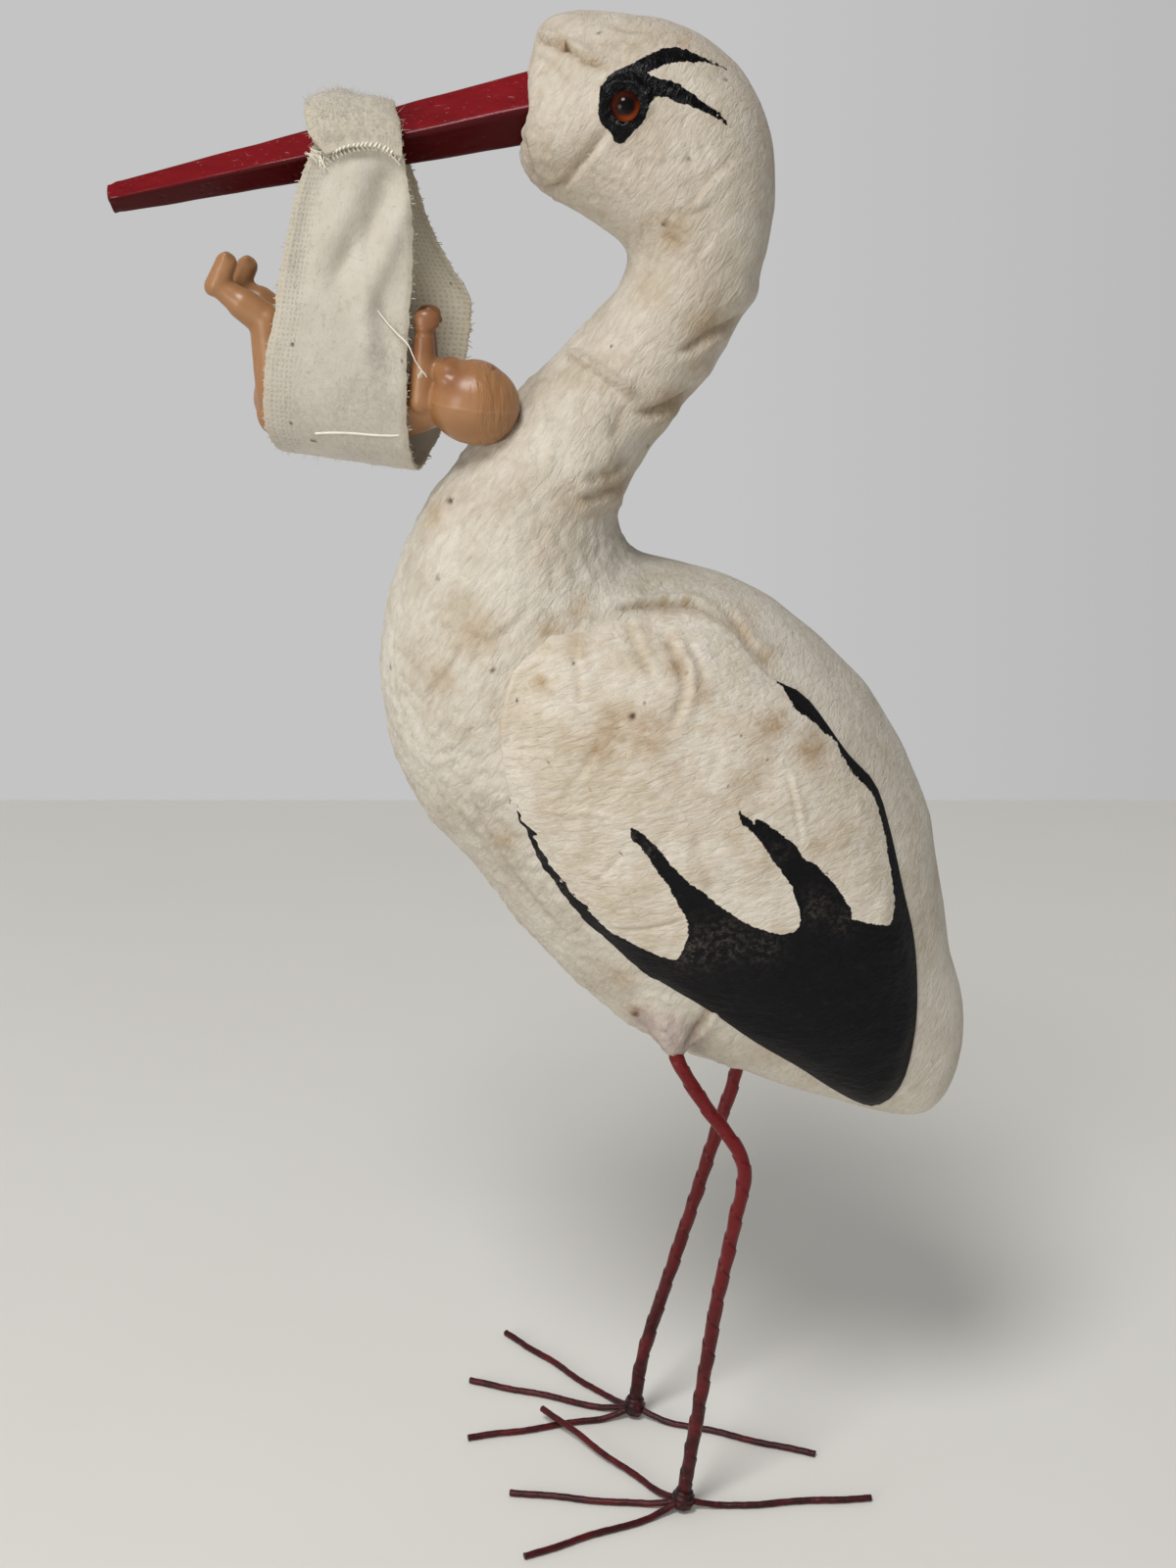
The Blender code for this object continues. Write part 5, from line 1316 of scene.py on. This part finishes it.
# Knot of the stitching at the lap's left end, with frayed ends that stand off the cloth
tuft = []
knot = on_cloth(-35.0, 203.0, 0.15)
for k in range(22):
    start = knot + (chance.uniform(-0.5, 0.9), chance.uniform(-0.3, 0.1), chance.uniform(-0.7, 0.5))
    if k < 9:
        way = np.array((-1.5 + chance.uniform(-0.4, 0.5), -0.5, 0.9 + chance.uniform(-0.5, 0.6)))
    else:
        way = np.array((chance.uniform(-0.5, 1.4), -0.35, -1.2 + chance.uniform(-0.6, 0.4)))
    tuft.append([start, start + way * 0.5 + (0.0, -0.15, 0.1), start + way])
pieces_on_cloth.append(threads("sling_loose_thread", ends, 0.11, white_thread, thin=0.5))
pieces_on_cloth.append(threads("sling_tuft", tuft, 0.10, white_thread))

# Doll: a baby moulded in one piece of flesh-coloured plastic, lying on its back with
# arms and legs up. The mould's seam shows round its head, which has fine lines of hair.
DOLL_VOXEL = 0.24
DOLL_SMOOTHING = 7
HEAD = np.array((-15.61, -7.54, 171.23))
doll_form = bmesh.new()


def ball(centre, diameters, turn=0.0):
    """A round part of the doll, turned in side view by some degrees."""
    turned = Matrix.Rotation(math.radians(turn), 4, "Y") @ Matrix.Diagonal((*diameters, 1.0))
    place = Matrix.Translation(Vector(centre)) @ turned
    bmesh.ops.create_icosphere(doll_form, subdivisions=4, radius=0.5, matrix=place)


def limb(start, end, start_width, end_width):
    """A tapered part of the doll with round ends."""
    stub(doll_form, start, end, start_width / 2.0, end_width / 2.0, segments=28)
    ball(start, (start_width,) * 3)
    ball(end, (end_width,) * 3)


# Skull, brow, nose and mouth, then cheeks
ball(HEAD, (11.5, 11.3, 11.3))
ball(HEAD + (1.0, 0.1, -0.5), (10.9, 10.6, 10.9))
ball(HEAD + (-2.6, 0.2, 3.7), (6.0, 6.6, 4.4), 20.0)
ball(HEAD + (-2.34, 0.1, 5.45), (1.5, 1.6, 1.3))
ball(HEAD + (-4.4, 0.2, 3.9), (2.4, 3.0, 2.2))
for cheek in (-1.0, 1.0):
    ball(HEAD + (-2.9, cheek * 2.0, 3.1), (3.9, 3.6, 3.2))
# Trunk, seat and belly
ball((-29.1, -4.12, 170.33), (22.3, 10.4, 9.7))
ball((-40.1, -3.4, 171.2), (10.8, 10.6, 10.1))
ball((-33.5, -3.6, 172.0), (13.0, 9.6, 8.6), -6.0)
for cheek in (-1.0, 1.0):
    ball((-41.6, -3.4 + cheek * 2.2, 169.4), (6.6, 5.6, 6.6))
# Neck, then arms with hands held up, and legs with the far one a little lower
limb((-23.4, -5.2, 170.5), (-16.6, -6.3, 171.2), 6.7, 6.2)
for hand, y in ((-1.0, -7.72), (1.0, -2.32)):
    limb((-22.4, y, 171.4), (-21.9, y, 177.0), 3.9, 3.2)
    limb((-21.9, y, 177.0), (-21.8, y, 180.8), 3.1, 2.5)
    ball((-21.5, y, 182.0), (3.5, 2.0, 3.2))
    for finger in range(4):
        spot = np.array((-22.6 + finger * 0.80, y, 183.1 - 0.12 * (finger - 1.2) ** 2))
        limb(spot - (0.0, 0.0, 0.9), spot + (0.05, 0.15 * hand, 0.15), 0.8, 0.62)
    limb((-20.5, y, 181.3), (-19.8, y + 0.1, 181.4), 0.9, 0.7)
for foot, y, step in ((-1.0, -6.1, 0.0), (1.0, -0.7, 1.98)):
    hip = (-41.9, y, 172.3)
    knee = (-42.8 + 0.4 * step, y, 181.6)
    calf = (-46.0 + 0.75 * step, y, 184.0 - 0.15 * step)
    heel = (-49.3 + step, y, 186.5 - 0.4 * step)
    toes = (-48.0 + step, y, 189.3 - 0.5 * step)
    limb(hip, knee, 5.8, 5.0)
    limb(knee, calf, 4.7, 4.3)
    limb(calf, heel, 4.0, 2.9)
    limb(heel, toes, 3.3, 3.0)
    ball(np.array(heel) + (-0.5, 0.0, -0.2), (2.6, 2.6, 2.8))
    for toe in range(4):
        toe_tip = (0.1, (toe - 1.5) * 0.72, 1.25 - 0.12 * abs(toe - 1.0))
        ball(np.array(toes) + toe_tip, (1.0, 0.78, 1.0))

doll_mesh = one_skin("doll_baby", doll_form, DOLL_VOXEL, DOLL_SMOOTHING)
spots = points_of(doll_mesh)
normals = normals_of(doll_mesh)
x, y, z = spots.T
local = spots - HEAD
on_head = fade(-np.linalg.norm(local, axis=1), -7.2, -6.4) * (x > -21.0)
push = 0.05 * lumps(spots, 3.0, 41) + 0.02 * lumps(spots, 1.2, 42)
# Mould seam: a fine raised line round the head
seam = np.abs(local[:, 2] + 0.35 + 0.12 * local[:, 0])
push += 0.09 * np.exp(-(seam / 0.16) ** 2) * on_head
# Closed eyes and mouth of the face that looks up
for cheek in (-1.0, 1.0):
    eye_x, eye_y = local[:, 0] + 1.1, local[:, 1] - cheek * 1.9
    push -= 0.45 * np.exp(-((eye_x / 0.8) ** 2 + (eye_y / 1.1) ** 2)) * (local[:, 2] > 2.0)
    push += 0.22 * np.exp(-((eye_x / 0.5) ** 2 + (eye_y / 0.8) ** 2)) * (local[:, 2] > 2.0)
push -= 0.38 * np.exp(-(((local[:, 0] + 3.7) / 0.35) ** 2 + (local[:, 1] / 1.3) ** 2)) * (local[:, 2] > 1.0)
# Creases behind the knees, at the wrists and down the seat
push -= 0.25 * np.exp(-(((x + 44.4) / 0.35) ** 2 + ((z - 178.0) / 2.4) ** 2))
push -= 0.20 * np.exp(-((z - 180.4) / 0.30) ** 2) * (x > -24.5) * (x < -18.0)
push -= 0.35 * np.exp(-((y + 3.4) / 0.35) ** 2) * fade(-x, 38.0, 41.0) * fade(-z, -176.0, -172.0)
move_points(doll_mesh, spots + normals * push[:, None])
keep_values(doll_mesh, "hair", on_head * fade(local[:, 0], -1.0, 2.5))
keep_values(doll_mesh, "seam", np.exp(-(seam / 0.14) ** 2) * on_head)
red_lock = np.hypot(local[:, 0] - 3.3, local[:, 2] - 5.0) + 0.25 * lumps(spots, 1.0, 43)
keep_values(doll_mesh, "lock", fade(-red_lock, -0.75, -0.45) * on_head * fade(-local[:, 1], 0.2, 0.9))
# Blush on the nose and cheeks, to which the arms' painted shade is added
blush_and_shade = np.exp(-(((local[:, 0] + 2.6) / 2.2) ** 2 + ((local[:, 2] - 3.4) / 2.0) ** 2)) * on_head
# The arms and hands are painted darker brown: painted shade, where the cloth shades them
painted_arm_shade = fade(z, 175.5, 178.5) * fade(x, -25.5, -24.0) * fade(-x, 17.0, 18.5)
keep_values(doll_mesh, "blush_and_shade", np.clip(blush_and_shade + painted_arm_shade, 0.0, 1.0))


def plastic_finish():
    finish, tree, shader = new_finish("doll_plastic")
    place = add_node(tree, "TexCoord").outputs["Object"]
    cloud = add_node(tree, "TexNoise", None, {"Vector": place, "Scale": 1000.0 / 5.0, "Detail": 3.0})
    grime = add_node(tree, "TexNoise", None, {
        "Vector": place, "Scale": 1000.0 / 1.1, "Detail": 5.0, "Roughness": 0.7})
    values = {}
    for key in ("hair", "seam", "lock", "blush_and_shade"):
        values[key] = add_node(tree, "Attribute", {"attribute_name": key}).outputs["Fac"]
    ground = add_node(tree, "Mix", COLOURS, {
        0: cloud.outputs["Fac"], 6: linear("#A6774E"), 7: linear("#90653F")})
    blush_and_shade_strength = add_node(tree, "Math", TIMES, {0: values["blush_and_shade"], 1: 0.80})
    spots_on = add_node(tree, "MapRange", None, {
        "Value": grime.outputs["Fac"], "From Min": 0.66, "From Max": 0.78, "To Max": 0.6})
    line = add_node(tree, "Math", TIMES, {0: values["seam"], 1: 0.4})
    # Blush with painted shade on the arms, dirt, the seam and a red lock of hair, each over the one before
    flesh = ground.outputs[2]
    for strength, tint in (
        (blush_and_shade_strength.outputs[0], "#80502F"), (spots_on.outputs[0], "#6C3A26"), (line.outputs[0], "#B08660"),
        (values["lock"], "#5E0E12"),
    ):
        flesh = add_node(tree, "Mix", COLOURS, {0: strength, 6: flesh, 7: linear(tint)}).outputs[2]
    tree.links.new(flesh, shader.inputs["Base Color"])
    drawn = add_node(tree, "Mapping", None, {"Vector": place, "Scale": (1.0, 0.5, 0.16)})
    strands = add_node(tree, "TexNoise", None, {
        "Vector": drawn.outputs[0], "Scale": 1000.0 / 0.75, "Detail": 2.0})
    combed = add_node(tree, "Math", TIMES, {0: strands.outputs["Fac"], 1: values["hair"]})
    hair = add_node(tree, "Bump", None, {
        "Height": combed.outputs[0], "Strength": 0.9, "Distance": 0.42 * MM})
    skin = add_node(tree, "Bump", None, {
        "Height": grime.outputs["Fac"], "Strength": 0.25, "Distance": 0.05 * MM,
        "Normal": hair.outputs[0]})
    tree.links.new(skin.outputs[0], shader.inputs["Normal"])
    shader.inputs["Roughness"].default_value = 0.34
    shader.inputs["Subsurface Weight"].default_value = 0.10
    shader.inputs["Subsurface Radius"].default_value = (1.2 * MM, 0.5 * MM, 0.3 * MM)
    shader.inputs["Subsurface Scale"].default_value = 1.0
    return finish


# Hard moulded plastic with a satin skin, slightly see-through at thin places.
doll_mesh.materials.clear()
doll_mesh.materials.append(plastic_finish())
doll = mesh_object("doll_baby", doll_mesh)
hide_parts("doll")
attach(doll, "root")

# Floor, light and camera: a plain pale tabletop that ends a third of a metre behind
# the bird, soft light from the upper left front, and a small-studio telephoto view.
FLOOR_SIZE, FLOOR_MIDDLE = (3.0, 1.83), -0.585   # metres, and the y of its middle
VIEW_PLACE, VIEW_TILT, VIEW_LENS = (0.00395, -0.33163, 0.220), 72.0, 54.0
scene = bpy.context.scene
scene.view_settings.view_transform = "Standard"
bm = bmesh.new()
bmesh.ops.create_grid(bm, x_segments=1, y_segments=1, size=0.5)
floor_place = Matrix.Translation((0.0, FLOOR_MIDDLE, 0.0)) @ Matrix.Diagonal((*FLOOR_SIZE, 1.0, 1.0))
bmesh.ops.transform(bm, matrix=floor_place, verts=bm.verts)
floor_mesh = mesh_from("floor", bm)
floor = mesh_object("floor", floor_mesh)
floor_finish, floor_tree, floor_shader = new_finish("floor_card")
floor_spot = add_node(floor_tree, "TexCoord").outputs["Object"]
floor_cloud = add_node(floor_tree, "TexNoise", None, {"Vector": floor_spot, "Scale": 14.0, "Detail": 3.0})
floor_colour = add_node(floor_tree, "Mix", COLOURS, {
    0: floor_cloud.outputs["Fac"], 6: linear("#E9E7E1"), 7: linear("#E4E1DB")})
floor_tree.links.new(floor_colour.outputs[2], floor_shader.inputs["Base Color"])
floor_shader.inputs["Roughness"].default_value = 0.9
floor_mesh.materials.append(floor_finish)

world = bpy.data.worlds.new("studio")
world.use_nodes = True
backdrop = world.node_tree.nodes["Background"]
backdrop.inputs["Color"].default_value = linear("#C4C4C4")
facing = add_node(world.node_tree, "TexCoord").outputs["Object"]
way = add_node(world.node_tree, "SeparateXYZ", None, {0: facing})
# The room is dimmer overhead and to the right
overhead = add_node(world.node_tree, "MapRange", None, {
    "Value": way.outputs["Z"], "From Min": 0.12, "From Max": 0.75, "To Min": 1.0, "To Max": 0.62})
rightward = add_node(world.node_tree, "MapRange", None, {
    "Value": way.outputs["X"], "From Min": 0.05, "From Max": 0.90, "To Min": 1.0, "To Max": 0.50})
dimmed = add_node(world.node_tree, "Math", TIMES, {0: overhead.outputs[0], 1: rightward.outputs[0]})
world.node_tree.links.new(dimmed.outputs[0], backdrop.inputs["Strength"])
scene.world = world


def soft_light(name, place, aim, size, power, colour):
    lamp = bpy.data.lights.new(name, "AREA")
    lamp.shape = "DISK"
    lamp.size = size
    lamp.energy = power
    lamp.color = linear(colour)[:3]
    ob = bpy.data.objects.new(name, lamp)
    ob.location = place
    ob.rotation_euler = (Vector(aim) - Vector(place)).to_track_quat("-Z", "Y").to_euler()
    scene.collection.objects.link(ob)


soft_light("key", (-0.24, -0.57, 1.00), (0.0, 0.0, 0.12), 0.38, 6.8, "#FFFFFF")
soft_light("side", (-0.62, -0.78, 0.26), (0.0, 0.0, 0.11), 0.45, 2.6, "#FFFDF8")

view = bpy.data.cameras.new("view")
view.sensor_width = 36.0
view.lens = VIEW_LENS
view_object = bpy.data.objects.new("view", view)
view_object.location = VIEW_PLACE
view_object.rotation_euler = (math.radians(VIEW_TILT), 0.0, 0.0)
scene.collection.objects.link(view_object)
scene.camera = view_object
